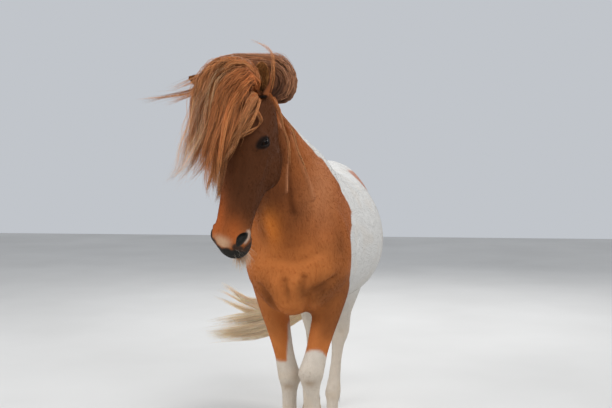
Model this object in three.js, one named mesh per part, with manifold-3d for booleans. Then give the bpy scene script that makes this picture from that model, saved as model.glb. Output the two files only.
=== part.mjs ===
// An icelandic horse at life size, standing in mid step with its left forefoot on its toe and its hair blown
// to its right. Millimetres, +Z up. The horse faces -Y, its left side is +X, and its hooves stand on Z = 0.
// The group is set so that the middle of the whole outline, seen from above, lies on the Z axis.

import * as THREE from "three";
import { mergeVertices } from "three/addons/utils/BufferGeometryUtils.js";
import Module from "manifold-3d";

const wasm = await Module();
wasm.setup();

// Driving dimensions
const GAP = 0.3; // left between neighbours that touch
const WITHERS_HEIGHT = 1410;
const BACK_HEIGHT = 1316;
const CROUP_HEIGHT = 1360;
const BRISKET_HEIGHT = 712;
const BELLY_HEIGHT = 676;
const WITHERS_Y = -330;
const BREAST_Y = -652;
const BUTTOCK_Y = 765;
const SHOULDER_HALF = 226;
const BARREL_HALF = 316;
const HIP_HALF = 240;
const HEAD_LENGTH = 578; // poll to the end of the lips
const POLL = new THREE.Vector3(-55, -1077, 1580);
const HEAD_TURN = THREE.MathUtils.degToRad(21); // to the horse's right of its body
const HEAD_TILT = THREE.MathUtils.degToRad(15); // of the face line, out of the upright
const EYE_RADIUS = 19;
const EYE = new THREE.Vector3(86, 4, 190); // in the head's own frame
const EAR_LENGTH = 122;
const FLOOR_BITE = 3; // how deep the resting toe is worn flat
const TAIL_SPLIT = 905; // height where the tail is in two parts
const UP = new THREE.Vector3(0, 0, 1);
const LEFT = new THREE.Vector3(1, 0, 0);

const vec = (x, y, z) => new THREE.Vector3(x, y, z);

// The head's own frame: x to the horse's left, y out of the face, z from the poll down to the lips
const facing = vec(-Math.sin(HEAD_TURN), -Math.cos(HEAD_TURN), 0);
const headLeft = vec(Math.cos(HEAD_TURN), -Math.sin(HEAD_TURN), 0);
const headOut = facing.clone().multiplyScalar(Math.cos(HEAD_TILT)).addScaledVector(UP, Math.sin(HEAD_TILT));
const headDown = facing.clone().multiplyScalar(Math.sin(HEAD_TILT)).addScaledVector(UP, -Math.cos(HEAD_TILT));
const headFrame = new THREE.Matrix4().makeBasis(headLeft, headOut, headDown).setPosition(POLL);
const inHead = (x, y, z) => vec(x, y, z).applyMatrix4(headFrame);

/** The Catmull-Rom curve through evenly spaced numbers, at t from 0 to their count less one. */
function glide(values, t) {
  const i = Math.min(Math.floor(t), values.length - 2);
  const f = t - i;
  const value = (k) => values[THREE.MathUtils.clamp(k, 0, values.length - 1)];
  const [a, b, c, d] = [i - 1, i, i + 1, i + 2].map(value);
  return b + 0.5 * f * (c - a + f * (2 * a - 5 * b + 4 * c - d + f * (3 * (b - c) + d - a)));
}

/** The same curve through vectors. */
function glideVector(vectors, t) {
  const along = (axis) => glide(vectors.map((v) => v[axis]), t);
  return vec(along("x"), along("y"), along("z"));
}

/** A solid from corners and triangles, turned so that its faces point out. */
function solidOf(corners, faces) {
  const vertProperties = new Float32Array(corners.flatMap((p) => p.toArray()));
  const volume = faces.reduce((sum, [a, b, c]) => {
    const normal = corners[b].clone().cross(corners[c]);
    return sum + corners[a].dot(normal);
  }, 0);
  const turned = volume < 0 ? faces.map(([a, b, c]) => [a, c, b]) : faces;
  const triVerts = new Uint32Array(turned.flat());
  return new wasm.Manifold(new wasm.Mesh({ numProp: 3, vertProperties, triVerts }));
}

/** A solid from a closed three.js geometry, placed by a matrix. */
function solidFrom(geometry, matrix) {
  geometry.deleteAttribute("normal");
  geometry.deleteAttribute("uv");
  const merged = mergeVertices(geometry.applyMatrix4(matrix), 1e-3);
  const place = merged.getAttribute("position");
  const corners = Array.from({ length: place.count }, (_, i) => vec().fromBufferAttribute(place, i));
  const index = Array.from(merged.index.array);
  return solidOf(corners, Array.from({ length: index.length / 3 }, (_, i) => index.slice(3 * i, 3 * i + 3)));
}

/** A solid through rings of equally many points, each end closed by a fan. */
function solidThrough(rings) {
  const count = rings[0].length;
  const corners = rings.flat();
  const middle = (ring) => ring.reduce((sum, p) => sum.add(p), vec(0, 0, 0)).divideScalar(count);
  const first = corners.push(middle(rings[0])) - 1;
  const last = corners.push(middle(rings.at(-1))) - 1;
  const end = (rings.length - 1) * count;
  const faces = [];
  for (let k = 0; k < count; k++) {
    const next = (k + 1) % count;
    faces.push([first, next, k], [last, end + k, end + next]);
    for (let low = 0; low < end; low += count) {
      const high = low + count;
      faces.push([low + k, low + next, high + next], [low + k, high + next, high + k]);
    }
  }
  return solidOf(corners, faces);
}

/**
 * A solid lofted through sections. Each station has a place `at`, the directions `side` and `up` of its
 * plane, the half width `wide`, the reach `front` towards `up` and `back` away from it, and the exponents
 * `fore` and `aft` of its two halves: 2 is an ellipse, less is sharper and more is squarer. `grow` makes the
 * whole that much fatter.
 */
function loft(stations, { steps = 3, points = 16, grow = 0 } = {}) {
  const last = (stations.length - 1) * steps;
  const places = stations.map((s) => s.at);
  const rings = Array.from({ length: last + 1 }, (_, r) => {
    const t = r / steps;
    const number = (name, otherwise) => glide(stations.map((s) => s[name] ?? otherwise), t);
    const vector = (name) => glideVector(stations.map((s) => s[name]), t);
    const side = vector("side").normalize();
    const up = vector("up").normalize();
    const ahead = glideVector(places, Math.min(t + 0.1, places.length - 1));
    const heading = ahead.sub(glideVector(places, Math.max(t - 0.1, 0)));
    const centre = vector("at").addScaledVector(heading.normalize(), r === 0 ? -grow : r === last ? grow : 0);
    return Array.from({ length: points }, (_, k) => {
      const angle = (2 * Math.PI * k) / points;
      const [c, s] = [Math.cos(angle), Math.sin(angle)];
      const bend = 2 / (s > 0 ? number("fore", 2) : number("aft", 2));
      const reach = (s > 0 ? number("front") : number("back")) + grow;
      return centre
        .clone()
        .addScaledVector(side, Math.sign(c) * (number("wide") + grow) * Math.abs(c) ** bend)
        .addScaledVector(up, Math.sign(s) * reach * Math.abs(s) ** bend);
    });
  });
  return solidThrough(rings);
}

/** An ellipsoid with its half axes along the directions x, y and z of a frame. */
function bulge(centre, radii, { frame = new THREE.Matrix4(), wide = 14, high = 8, grow = 0 } = {}) {
  const turn = new THREE.Quaternion().setFromRotationMatrix(frame);
  const size = vec(...radii).addScalar(grow);
  return solidFrom(new THREE.SphereGeometry(1, wide, high), new THREE.Matrix4().compose(centre, turn, size));
}

const join = (solids) => solids.reduce((whole, solid) => whole.add(solid));

/** A directed frame for a bulge whose long axis y runs along `way`. */
function frameAlong(way) {
  const turn = new THREE.Quaternion().setFromUnitVectors(vec(0, 1, 0), way.clone().normalize());
  return new THREE.Matrix4().makeRotationFromQuaternion(turn);
}

// Torso: the back line, the under line and the width at each place along the body

const torsoStation = (y, top, bottom, middle, wide, fore = 2, aft = 2.15) => ({
  at: vec(0, y, middle),
  side: LEFT,
  up: UP,
  wide,
  front: top - middle,
  back: middle - bottom,
  fore,
  aft,
});

const TORSO = [
  torsoStation(BREAST_Y, 1000, 860, 930, 70),
  torsoStation(-628, 1095, 800, 930, 138),
  torsoStation(-570, 1190, 748, 940, 184),
  torsoStation(-490, 1290, 720, 960, 212, 1.9),
  torsoStation(-405, 1378, BRISKET_HEIGHT, 980, SHOULDER_HALF, 1.7),
  torsoStation(WITHERS_Y, WITHERS_HEIGHT, BRISKET_HEIGHT, 985, 233, 1.6),
  torsoStation(-230, 1393, 708, 985, 250, 1.65),
  torsoStation(-110, 1342, 697, 980, 282, 1.85),
  torsoStation(20, BACK_HEIGHT + 2, 682, 975, 308),
  torsoStation(140, BACK_HEIGHT, BELLY_HEIGHT, 975, BARREL_HALF),
  torsoStation(260, 1332, 692, 990, 300, 1.9),
  torsoStation(375, 1352, 738, 1030, 264, 1.85),
  torsoStation(480, CROUP_HEIGHT, 792, 1065, HIP_HALF, 1.8),
  torsoStation(580, 1342, 850, 1075, 226, 1.8),
  torsoStation(670, 1295, 900, 1070, 192, 1.85),
  torsoStation(735, 1212, 950, 1062, 138),
  torsoStation(BUTTOCK_Y, 1130, 1000, 1060, 60),
];

/** The barrel with the shoulder, breast and buttock muscles that stand out of it. */
function torso(grow) {
  const muscles = [-1, 1].flatMap((side) => [
    bulge(vec(side * 92, -440, 965), [136, 160, 255], { frame: frameAlong(vec(0, 1, 0.3)), grow }),
    bulge(vec(side * 62, -520, 870), [98, 132, 140], { grow, wide: 12, high: 6 }),
    bulge(vec(side * 108, 520, 1010), [136, 220, 250], { grow }),
    bulge(vec(side * 130, 300, 870), [112, 170, 170], { grow, wide: 12, high: 6 }),
  ]);
  return join([loft(TORSO, { points: 22, steps: 2, grow }), ...muscles]);
}

// Neck: from the poll to the withers, each section given by its crest and its throat

function neckStation(crest, throat, wide) {
  const [top, bottom] = [vec(...crest), vec(...throat)];
  const depth = top.distanceTo(bottom);
  return {
    at: top.clone().lerp(bottom, 0.45),
    side: LEFT,
    up: top.clone().sub(bottom),
    wide,
    front: 0.45 * depth,
    back: 0.55 * depth,
    fore: 1.9,
    aft: 2,
  };
}

const NECK = [
  neckStation([-57, -1062, 1582], [-72, -960, 1375], 66),
  neckStation([-50, -960, 1575], [-64, -880, 1290], 88),
  neckStation([-40, -840, 1548], [-50, -790, 1185], 104),
  neckStation([-28, -710, 1507], [-32, -718, 1085], 126),
  neckStation([-14, -570, 1464], [-14, -655, 985], 154),
  neckStation([-5, -440, 1430], [0, -560, 905], 182),
  neckStation([0, -330, 1398], [0, -420, 850], 190),
];

const neck = (grow) => loft(NECK, { points: 20, steps: 2, grow });

// Head: the face line, the under line and the half width at each place between poll and lips

const headStation = (along, front, back, wide, middle, fore = 2, aft = 2) => ({
  at: inHead(0, middle, along),
  side: headLeft,
  up: headOut,
  wide,
  front: front - middle,
  back: middle - back,
  fore,
  aft,
});

const HEAD = [
  headStation(-22, -20, -80, 32, -50),
  headStation(0, 12, -112, 58, -45),
  headStation(55, 40, -138, 76, -35, 2.2),
  headStation(125, 56, -165, 90, -20, 2.3),
  headStation(190, 58, -182, 96, -15, 2.3, 1.8),
  headStation(255, 50, -180, 86, -25, 2.3, 1.8),
  headStation(325, 41, -148, 70, -35, 2.3, 1.9),
  headStation(400, 34, -108, 58, -35, 2.2, 2),
  headStation(465, 30, -88, 56, -30, 2.2, 2.2),
  headStation(515, 28, -82, 62, -26, 2.2, 2.3),
  headStation(548, 20, -78, 59, -28, 2.2, 2.3),
  headStation(570, 2, -66, 46, -30),
  headStation(HEAD_LENGTH, -18, -48, 22, -32),
];

/** The skull and muzzle with the cheeks, the brow bones, the bony ridges below the eyes and the chin. */
function head(grow) {
  const sides = [-1, 1].flatMap((side) => {
    const spot = (x, y, z) => inHead(side * x, y, z);
    return [
      bulge(spot(52, -105, 235), [34, 72, 88], { frame: headFrame, grow }),
      bulge(spot(76, 2, EYE.z), [27, 33, 44], { frame: headFrame, grow, wide: 12 }),
      bulge(spot(EYE.x, EYE.y, EYE.z), [23, 18, 26], { frame: headFrame, grow, wide: 12 }),
      bulge(spot(62, -8, 285), [15, 14, 62], { frame: headFrame, grow, wide: 8, high: 6 }),
      bulge(spot(44, -12, 524), [24, 36, 34], { frame: headFrame, grow, wide: 10, high: 6 }),
    ];
  });
  const chin = bulge(inHead(0, -70, 540), [34, 20, 30], { frame: headFrame, grow, wide: 10, high: 6 });
  return join([loft(HEAD, { points: 20, steps: 2, grow }), ...sides, chin]);
}

/** The hollows of the head: the eye openings, the nostrils and the line of the mouth. */
function headHollows() {
  const sides = [-1, 1].flatMap((side) => {
    const spot = (x, y, z) => inHead(side * x, y, z);
    const slant = headFrame.clone().multiply(new THREE.Matrix4().makeRotationX(0.5));
    return [
      bulge(spot(EYE.x, EYE.y, EYE.z), [1, 1, 1].map(() => EYE_RADIUS), { frame: headFrame, grow: GAP }),
      bulge(spot(EYE.x + 16, EYE.y + 1, EYE.z), [17, 9, 18], { frame: headFrame, wide: 14, high: 8 }),
      bulge(spot(66, 4, 520), [15, 10, 23], { frame: slant, wide: 12, high: 8 }),
    ];
  });
  const mouth = new THREE.BoxGeometry(160, 3, 90).toNonIndexed();
  const slot = solidFrom(mouth, headFrame.clone().multiply(new THREE.Matrix4().makeTranslation(0, -50, 548)));
  const core = loft(HEAD, { points: 20, steps: 2, grow: -9 });
  return join([slot.subtract(core), ...sides]);
}

// Ears: leaf-shaped cups. Each has a root in the head, a lean of its axis and the way its cup opens.
const EARS = [
  { name: "ear_left", root: inHead(54, 2, 8), axis: vec(-0.1, 0.3, 1), open: vec(0.05, -1, 0.1) },
  { name: "ear_right", root: inHead(-64, -6, 4), axis: vec(-0.93, 0.02, 0.4), open: vec(-0.1, -1, -0.4) },
];

const EAR_SECTIONS = [
  // share of the length, half width, half thickness
  [-0.12, 20, 16],
  [0.12, 26, 19],
  [0.35, 30, 18],
  [0.6, 29, 14],
  [0.82, 20, 9],
  [1, 5, 3.5],
];

/** An ear, or with `hollow` the space inside its cup. */
function ear({ root, axis, open }, { grow = 0, hollow = false } = {}) {
  const way = axis.clone().normalize();
  const up = open.clone().addScaledVector(way, -open.dot(way)).normalize();
  const side = way.clone().cross(up);
  const wall = hollow ? 5 : 0;
  const sections = hollow ? EAR_SECTIONS.slice(1, -1) : EAR_SECTIONS;
  const stations = sections.map(([share, wide, thick]) => ({
    at: root.clone().addScaledVector(way, share * EAR_LENGTH).addScaledVector(up, hollow ? thick : 0),
    side,
    up,
    wide: wide - wall,
    front: hollow ? 1.4 * thick : thick,
    back: hollow ? 1.35 * thick : thick,
  }));
  return loft(stations, { points: 12, steps: 1, grow });
}

// Legs. A foot is modelled flat on the floor with its toe at the origin, and is then turned about its toe.

const FORE_FOOT = { fetlock: vec(0, 135, 192), coronet: vec(0, 92, 72), wide: 56, long: 126 };
const HIND_FOOT = { fetlock: vec(0, 124, 205), coronet: vec(0, 86, 72), wide: 52, long: 120 };

const LEGS = {
  fore_left: {
    foot: FORE_FOOT,
    toe: vec(62, -507, 0),
    lift: 26,
    girth: 1.2,
    joints: [[60, -500, 478], [138, -398, 800], [142, -440, 940]],
  },
  fore_right: {
    foot: FORE_FOOT,
    toe: vec(-46, -542, 0),
    lift: 0,
    girth: 1.1,
    joints: [[-44, -412, 440], [-130, -385, 790], [-142, -430, 940]],
  },
  hind_left: {
    foot: HIND_FOOT,
    toe: vec(56, 98, 0),
    lift: 0,
    girth: 1.12,
    joints: [[80, 300, 500], [150, 195, 830], [132, 440, 1090]],
  },
  hind_right: {
    foot: HIND_FOOT,
    toe: vec(-110, 542, 0),
    lift: 0,
    girth: 1.1,
    joints: [[-118, 612, 515], [-152, 375, 795], [-132, 450, 1090]],
  },
};

// Sections of a leg: place along its joints (0 coronet, 1 fetlock, 2 knee or hock, 3 elbow or stifle,
// 4 shoulder or hip), half width, reach to the front and reach to the back
const FORE_SECTIONS = [
  [-0.1, 38, 38, 34],
  [0.3, 33, 31, 31],
  [0.68, 31, 29, 30],
  [1, 38, 35, 42],
  [1.22, 34, 29, 39],
  [1.5, 32, 27, 38],
  [1.76, 34, 29, 37],
  [1.88, 40, 36, 38],
  [2, 47, 43, 44],
  [2.11, 44, 42, 40],
  [2.26, 41, 42, 40],
  [2.5, 47, 56, 52],
  [2.75, 60, 76, 74],
  [3, 68, 86, 92],
  [3.4, 72, 88, 100],
  [4, 60, 70, 80],
];
const HIND_SECTIONS = [
  [-0.1, 38, 37, 34],
  [0.3, 30, 29, 29],
  [0.68, 29, 28, 29],
  [1, 37, 34, 43],
  [1.2, 31, 28, 40],
  [1.5, 27, 27, 38],
  [1.74, 30, 31, 40],
  [1.9, 40, 38, 46],
  [2, 46, 42, 54],
  [2.12, 43, 42, 64],
  [2.3, 40, 50, 60],
  [2.5, 52, 70, 70],
  [2.75, 70, 104, 100],
  [3, 88, 140, 150],
  [3.5, 104, 150, 210],
  [4, 92, 120, 150],
];

const GIRTH_FADE = [2.3, 2.9]; // places along a leg between which its girth stops counting

/** The matrix that sets a foot on its toe and lifts its heel. */
function footFrame({ toe, lift }) {
  const turn = new THREE.Matrix4().makeRotationX(THREE.MathUtils.degToRad(lift));
  return turn.setPosition(toe.x, toe.y, lift ? -FLOOR_BITE : 0);
}

/** A leg from inside its hoof up into the body, `girth` times as thick as its sections in its lower part. */
function leg(name, sections, grow) {
  const { foot, joints, girth } = LEGS[name];
  const frame = footFrame(LEGS[name]);
  const points = [
    foot.coronet.clone().applyMatrix4(frame),
    foot.fetlock.clone().applyMatrix4(frame),
    ...joints.map((p) => vec(...p)),
  ];
  const places = sections.map(([along]) => {
    const low = THREE.MathUtils.clamp(Math.floor(along), 0, points.length - 2);
    return points[low].clone().lerp(points[low + 1], along - low);
  });
  const stations = sections.map(([along, wide, front, back], i) => {
    const after = places[Math.min(i + 1, places.length - 1)];
    const way = after.clone().sub(places[Math.max(i - 1, 0)]).normalize();
    const more = THREE.MathUtils.lerp(girth, 1, THREE.MathUtils.smoothstep(along, ...GIRTH_FADE));
    const up = LEFT.clone().cross(way);
    return { at: places[i], side: LEFT, up, wide: wide * more, front: front * more, back: back * more };
  });
  return loft(stations, { points: 12, steps: 1, grow });
}

/** A hoof: its wall from the sole up to the slanting hair line. */
function hoof(name, grow) {
  const { foot } = LEGS[name];
  const frame = footFrame(LEGS[name]);
  const turn = new THREE.Matrix4().extractRotation(frame);
  const ring = (y, z, tilt, wide, front, back) => ({
    at: vec(0, y, z).applyMatrix4(frame),
    side: LEFT,
    up: vec(0, -Math.cos(tilt), Math.sin(tilt)).applyMatrix4(turn),
    wide,
    front,
    back,
    fore: 2,
    aft: 2.4,
  });
  const half = foot.long / 2;
  const wall = loft(
    [
      ring(half, 0, 0, foot.wide, half, half - 8),
      ring(half + 4, 14, 0.05, foot.wide - 2, half - 4, half - 7),
      ring(half + 17, 42, 0.2, foot.wide - 8, half - 12, half - 13),
      ring(foot.coronet.y, foot.coronet.z - 6, 0.36, 42, 43, 42),
      ring(foot.coronet.y + 1, foot.coronet.z, 0.36, 39, 40, 39),
    ],
    { points: 16, steps: 1, grow },
  );
  return LEGS[name].lift ? wall.subtract(below(0)) : wall;
}

/** A box, only used to cut with. */
function block(centre, size) {
  return solidFrom(new THREE.BoxGeometry(...size).toNonIndexed(), new THREE.Matrix4().setPosition(centre));
}

const EVERYTHING = 4000; // an edge longer than the whole horse
const below = (z) => block(vec(0, 0, z - EVERYTHING / 2), [EVERYTHING, EVERYTHING, EVERYTHING]);
const above = (z) => block(vec(0, 0, z + EVERYTHING / 2), [EVERYTHING, EVERYTHING, EVERYTHING]);

// Hair. Each bundle runs along a few places, with its half width `across` and half depth `through` at each,
// and is filled with `count` locks of the half thickness `thick`. Of the whole length the core that holds the
// roots together takes the share `core`, and the locks end between the shares `ends`.

const strand = (...vectors) => {
  const [at, across, through] = vectors.map((v) => vec(...v));
  return { at, across, through };
};

const HAIR = {
  forelock_brow: {
    count: 6,
    thick: 5,
    core: 0.4,
    ends: [0.7, 1],
    places: [
      strand([-38, -1094, 1560], [-14, -4, -12], [-8, 6, 6]),
      strand([-30, -1112, 1590], [-8, -2, -18], [-7, 6, 3]),
      strand([-47, -1160, 1610], [15, 1, -29], [-9, 7, -4]),
      strand([-87, -1190, 1549], [41, 6, -19], [-4, 15, -3]),
      strand([-117, -1215, 1445], [43, 6, -12], [-4, 20, -2]),
      strand([-141, -1225, 1341], [38, 6, -6], [-3, 18, -1]),
      strand([-143, -1230, 1251], [32, 5, 0], [-2, 12, -1]),
      strand([-139, -1235, 1187], [22, 4, 1], [-1, 8, -1]),
    ],
  },
  forelock_over: {
    count: 6,
    thick: 5,
    core: 0.5,
    ends: [0.72, 1],
    places: [
      strand([-38, -1088, 1564], [-16, -4, -8], [-4, 12, 2]),
      strand([-34, -1088, 1610], [-14, -2, -14], [-4, 12, 2]),
      strand([-73, -1110, 1655], [-6, -2, -22], [-7, 14, 1]),
      strand([-137, -1140, 1640], [27, 3, -29], [-5, 17, -3]),
      strand([-182, -1160, 1546], [47, 7, -14], [-4, 22, -2]),
      strand([-195, -1165, 1434], [45, 7, -8], [-3, 22, 1]),
      strand([-221, -1160, 1342], [39, 6, -17], [-2, 18, 2]),
      strand([-265, -1150, 1275], [28, 4, -18], [0, 14, 2]),
    ],
  },
  wisps: {
    count: 3,
    thick: 4,
    core: 0,
    ends: [0.75, 1],
    places: [
      strand([-40, -1078, 1566], [-14, 0, -8], [0, 10, 0]),
      strand([-62, -1074, 1628], [2, 0, -18], [0, 14, 0]),
      strand([-142, -1080, 1633], [4, 0, -23], [0, 20, 0]),
      strand([-261, -1070, 1588], [7, 0, -23], [3, 26, 1]),
      strand([-364, -1050, 1567], [3, -1, -24], [4, 28, 0]),
      strand([-458, -1040, 1562], [1, -1, -24], [3, 28, -1]),
    ],
  },
  roll: {
    count: 6,
    thick: 14,
    core: 0.75,
    ends: [0.7, 1],
    places: [
      strand([25, -945, 1536], [-7, 56, 3], [-20, -3, 11]),
      strand([48, -945, 1582], [-8, 60, 5], [-26, -4, 7]),
      strand([52, -950, 1640], [-14, 60, 7], [-28, -5, -12]),
      strand([11, -965, 1678], [-21, 57, 2], [-12, -3, -30]),
      strand([-55, -990, 1683], [-21, 54, -3], [1, -1, -29]),
      strand([-133, -1020, 1675], [-18, 51, -6], [10, 0, -25]),
      strand([-210, -1050, 1630], [-10, 47, -4], [13, 1, -20]),
      strand([-285, -1060, 1580], [-4, 36, -1], [10, 1, -14]),
    ],
  },
  heart: {
    count: 2,
    thick: 20,
    core: 0.6,
    ends: [0.8, 1],
    places: [
      strand([5, -970, 1538], [-8, 49, -2], [-19, -3, 9]),
      strand([22, -965, 1580], [-8, 53, 2], [-25, -4, 6]),
      strand([22, -970, 1622], [-14, 53, 9], [-26, -5, -12]),
      strand([-9, -985, 1645], [-25, 50, 2], [-8, -3, -28]),
      strand([-58, -1010, 1645], [-28, 46, -6], [5, 0, -27]),
      strand([-111, -1040, 1630], [-23, 42, -12], [13, 1, -22]),
    ],
  },
  mane_upper: {
    count: 7,
    thick: 5,
    core: 0.4,
    ends: [0.75, 1],
    places: [
      strand([-46, -860, 1528], [6, 75, 14], [14, 0, 0]),
      strand([-110, -870, 1538], [6, 84, 14], [-10, 0, 18]),
      strand([-176, -885, 1455], [0, 94, 20], [-24, 0, 4]),
      strand([-204, -905, 1335], [0, 96, 20], [-24, 0, 0]),
      strand([-226, -920, 1215], [0, 90, 20], [-24, 0, 0]),
    ],
  },
  mane_lower: {
    count: 8,
    thick: 5,
    core: 0.4,
    ends: [0.75, 1],
    places: [
      strand([-28, -640, 1464], [8, 128, -38], [12, 0, 0]),
      strand([-105, -665, 1474], [8, 128, -34], [-10, 0, 18]),
      strand([-180, -690, 1388], [0, 126, -30], [-24, 0, 4]),
      strand([-218, -715, 1275], [0, 122, -30], [-24, 0, 0]),
      strand([-246, -735, 1165], [0, 116, -24], [-24, 0, 0]),
    ],
  },
  tail: {
    count: 10,
    thick: 10,
    core: 0.6,
    ends: [0.8, 1],
    places: [
      strand([0, 752, 1190], [30, 0, 0], [0, 26, 18]),
      strand([-14, 805, 1070], [42, 0, 0], [0, 32, 10]),
      strand([-50, 838, 900], [56, 0, -12], [0, 38, 0]),
      strand([-120, 858, 690], [62, 0, -36], [0, 42, 0]),
      strand([-240, 862, 520], [44, 0, -60], [2, 44, 0]),
      strand([-400, 875, 425], [10, 0, -66], [1, 44, -1]),
      strand([-600, 870, 378], [12, 0, -63], [-4, 44, -1]),
      strand([-794, 840, 346], [9, 0, -57], [-6, 39, -2]),
    ],
  },
  tail_low_fan: {
    count: 2,
    thick: 9,
    core: 0,
    ends: [0.9, 1],
    places: [
      strand([-270, 864, 480], [0, 0, -22], [0, 20, 0]),
      strand([-433, 870, 481], [-5, 0, -22], [0, 20, -2]),
      strand([-564, 870, 511], [-6, 0, -22], [-1, 18, -1]),
      strand([-731, 850, 574], [-4, 0, -11], [-1, 8, 0]),
    ],
  },
  tail_high_fan: {
    count: 2,
    thick: 8,
    core: 0,
    ends: [0.9, 1],
    places: [
      strand([-250, 864, 505], [0, 0, -20], [0, 20, 0]),
      strand([-434, 870, 527], [0, 0, -24], [0, 20, 0]),
      strand([-531, 870, 548], [0, 0, -22], [0, 16, 0]),
      strand([-690, 850, 640], [0, 0, -14], [0, 8, 0]),
    ],
  },
  beard: {
    count: 4,
    thick: 3,
    core: 0,
    ends: [0.7, 1],
    places: [
      strand(inHead(0, -62, 540).toArray(), [24, 0, 0], [0, 6, 8]),
      strand(inHead(2, -90, 556).toArray(), [24, 0, 0], [0, 6, 8]),
      strand(inHead(6, -108, 584).toArray(), [24, 0, 0], [0, 6, 6]),
    ],
  },
};

const LOCK_SPREAD = 0.9; // the outermost locks' place, as a share of their bundle's half width
const LOCK_COVER = 0.94; // a lock's half width, as a share of the distance to the next lock
const FEATHER_LOCKS = 3; // behind each fetlock
const LOCK_STEP = 0.2; // from one ring of a lock to the next, as a share of its bundle's length

/** Numbers from 0 to 1 that are the same in each run. */
function seeded(seed) {
  let state = seed;
  return () => {
    state = (state + 0x6d2b79f5) | 0;
    let mixed = Math.imul(state ^ (state >>> 15), 1 | state);
    mixed = (mixed + Math.imul(mixed ^ (mixed >>> 7), 61 | mixed)) ^ mixed;
    return ((mixed ^ (mixed >>> 14)) >>> 0) / 2 ** 32;
  };
}

/** The middle and the two directions of a bundle at a share of its length. */
function bundleAt(places, share) {
  const t = share * (places.length - 1);
  return ["at", "across", "through"].map((name) => glideVector(places.map((p) => p[name]), t));
}

/** The core that holds a bundle's roots together, ending in a blunt point. */
function hairCore({ places, core }, grow) {
  const rings = Math.ceil(core / LOCK_STEP);
  const stations = Array.from({ length: rings + 1 }, (_, i) => {
    const [at, across, through] = bundleAt(places, Math.min(i * LOCK_STEP, core));
    const fill = i === rings ? 0.2 : 1;
    const half = 0.75 * through.length() * fill;
    return { at, side: across, up: through, wide: across.length() * fill, front: half, back: half };
  });
  return loft(stations, { points: 10, steps: 1, grow });
}

/**
 * One flat lock of a bundle, which tapers from its middle to its tip. It keeps to its place across and
 * through the bundle, and drifts, sways and twists a little on its way.
 */
function lock({ places, count, thick, ends }, [across, through], random, grow) {
  const pitch = (2 * LOCK_SPREAD) / count;
  const end = THREE.MathUtils.lerp(ends[0], ends[1], random());
  const [drift, sway, twist] = [0.3 * pitch, 0.2 * pitch, 0.3].map((most) => most * (random() - 0.5));
  const size = THREE.MathUtils.lerp(0.9, 1.1, random());
  const rings = Math.ceil(end / LOCK_STEP - 0.5);
  const stations = Array.from({ length: rings + 1 }, (_, i) => {
    const share = i === rings ? end : i * LOCK_STEP;
    const [at, side, up] = bundleAt(places, share);
    const gone = share / end;
    at.addScaledVector(side, across + drift * gone + sway * Math.sin(2 * Math.PI * gone));
    at.addScaledVector(up, i ? through : through / 2);
    const full = size * (0.08 + 0.92 * (1 - gone ** 4));
    return {
      at,
      side: side.clone().normalize().addScaledVector(up.clone().normalize(), twist * gone),
      up: up.clone().normalize().addScaledVector(side.clone().normalize(), -twist * gone),
      wide: LOCK_COVER * pitch * side.length() * full,
      front: thick * full,
      back: thick * full,
    };
  });
  return loft(stations, { points: 4, steps: 1, grow });
}

/** A bundle's locks, side by side over its width in two layers that overlap, with the core between them. */
function hairBundle(name, grow) {
  const bundle = HAIR[name];
  const random = seeded(Object.keys(HAIR).indexOf(name) + 11);
  const locks = Array.from({ length: bundle.count }, (_, i) => {
    const across = LOCK_SPREAD * ((2 * (i + 0.5)) / bundle.count - 1);
    return lock(bundle, [across, (i % 2 ? 0.65 : -0.65) * Math.sqrt(1 - across ** 2)], random, grow);
  });
  return join(bundle.core ? [hairCore(bundle, grow), ...locks] : locks);
}

/** The feather of long hair behind a fetlock, in the frame of its foot. */
function feather(name, grow) {
  const { foot } = LEGS[name];
  const frame = footFrame(LEGS[name]);
  const turn = new THREE.Matrix4().extractRotation(frame);
  const place = (back, rise, across, through) => ({
    at: foot.fetlock.clone().add(vec(0, back, rise)).applyMatrix4(frame),
    across: vec(across, 0, 0),
    through: vec(0, through, 0.3 * through).applyMatrix4(turn),
  });
  const places = [place(14, 26, 20, 6), place(34, -10, 24, 8), place(40, -58, 24, 7), place(30, -104, 20, 5)];
  const random = seeded(Object.keys(LEGS).indexOf(name) + 41);
  const bundle = { places, count: FEATHER_LOCKS, thick: 4, ends: [0.75, 1] };
  const across = (i) => LOCK_SPREAD * ((2 * (i + 0.5)) / FEATHER_LOCKS - 1);
  const layer = (i) => (i % 2 ? 0.5 : -0.5);
  const one = (_, i) => lock(bundle, [across(i), layer(i)], random, grow);
  return join(Array.from({ length: FEATHER_LOCKS }, one));
}

const hair = (names, grow) => join(names.map((name) => hairBundle(name, grow)));

// Colours and materials
const CHESTNUT = new THREE.MeshStandardMaterial({ color: 0x8a4a24, roughness: 0.75, metalness: 0 });
const WHITE_COAT = new THREE.MeshStandardMaterial({ color: 0xcfcbc4, roughness: 0.8, metalness: 0 });
const FLAXEN = new THREE.MeshStandardMaterial({ color: 0xd8c4a0, roughness: 0.7, metalness: 0 });
const EYE_DARK = new THREE.MeshStandardMaterial({ color: 0x1a1410, roughness: 0.1, metalness: 0 });
const HORN = new THREE.MeshStandardMaterial({ color: 0x8c7c68, roughness: 0.6, metalness: 0 });

/** The largest closed surface of a solid. */
const largest = (solid) => solid.decompose().sort((a, b) => b.volume() - a.volume())[0];

/** The corners and triangles of a solid, as a geometry. */
function geometryOf(solid) {
  const { numProp, vertProperties, triVerts } = solid.getMesh();
  const corners = Array.from({ length: vertProperties.length / numProp }, (_, i) =>
    Array.from(vertProperties.slice(numProp * i, numProp * i + 3)),
  );
  const geometry = new THREE.BufferGeometry();
  geometry.setAttribute("position", new THREE.BufferAttribute(new Float32Array(corners.flat()), 3));
  geometry.setIndex(Array.from(triVerts));
  return geometry;
}

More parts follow.
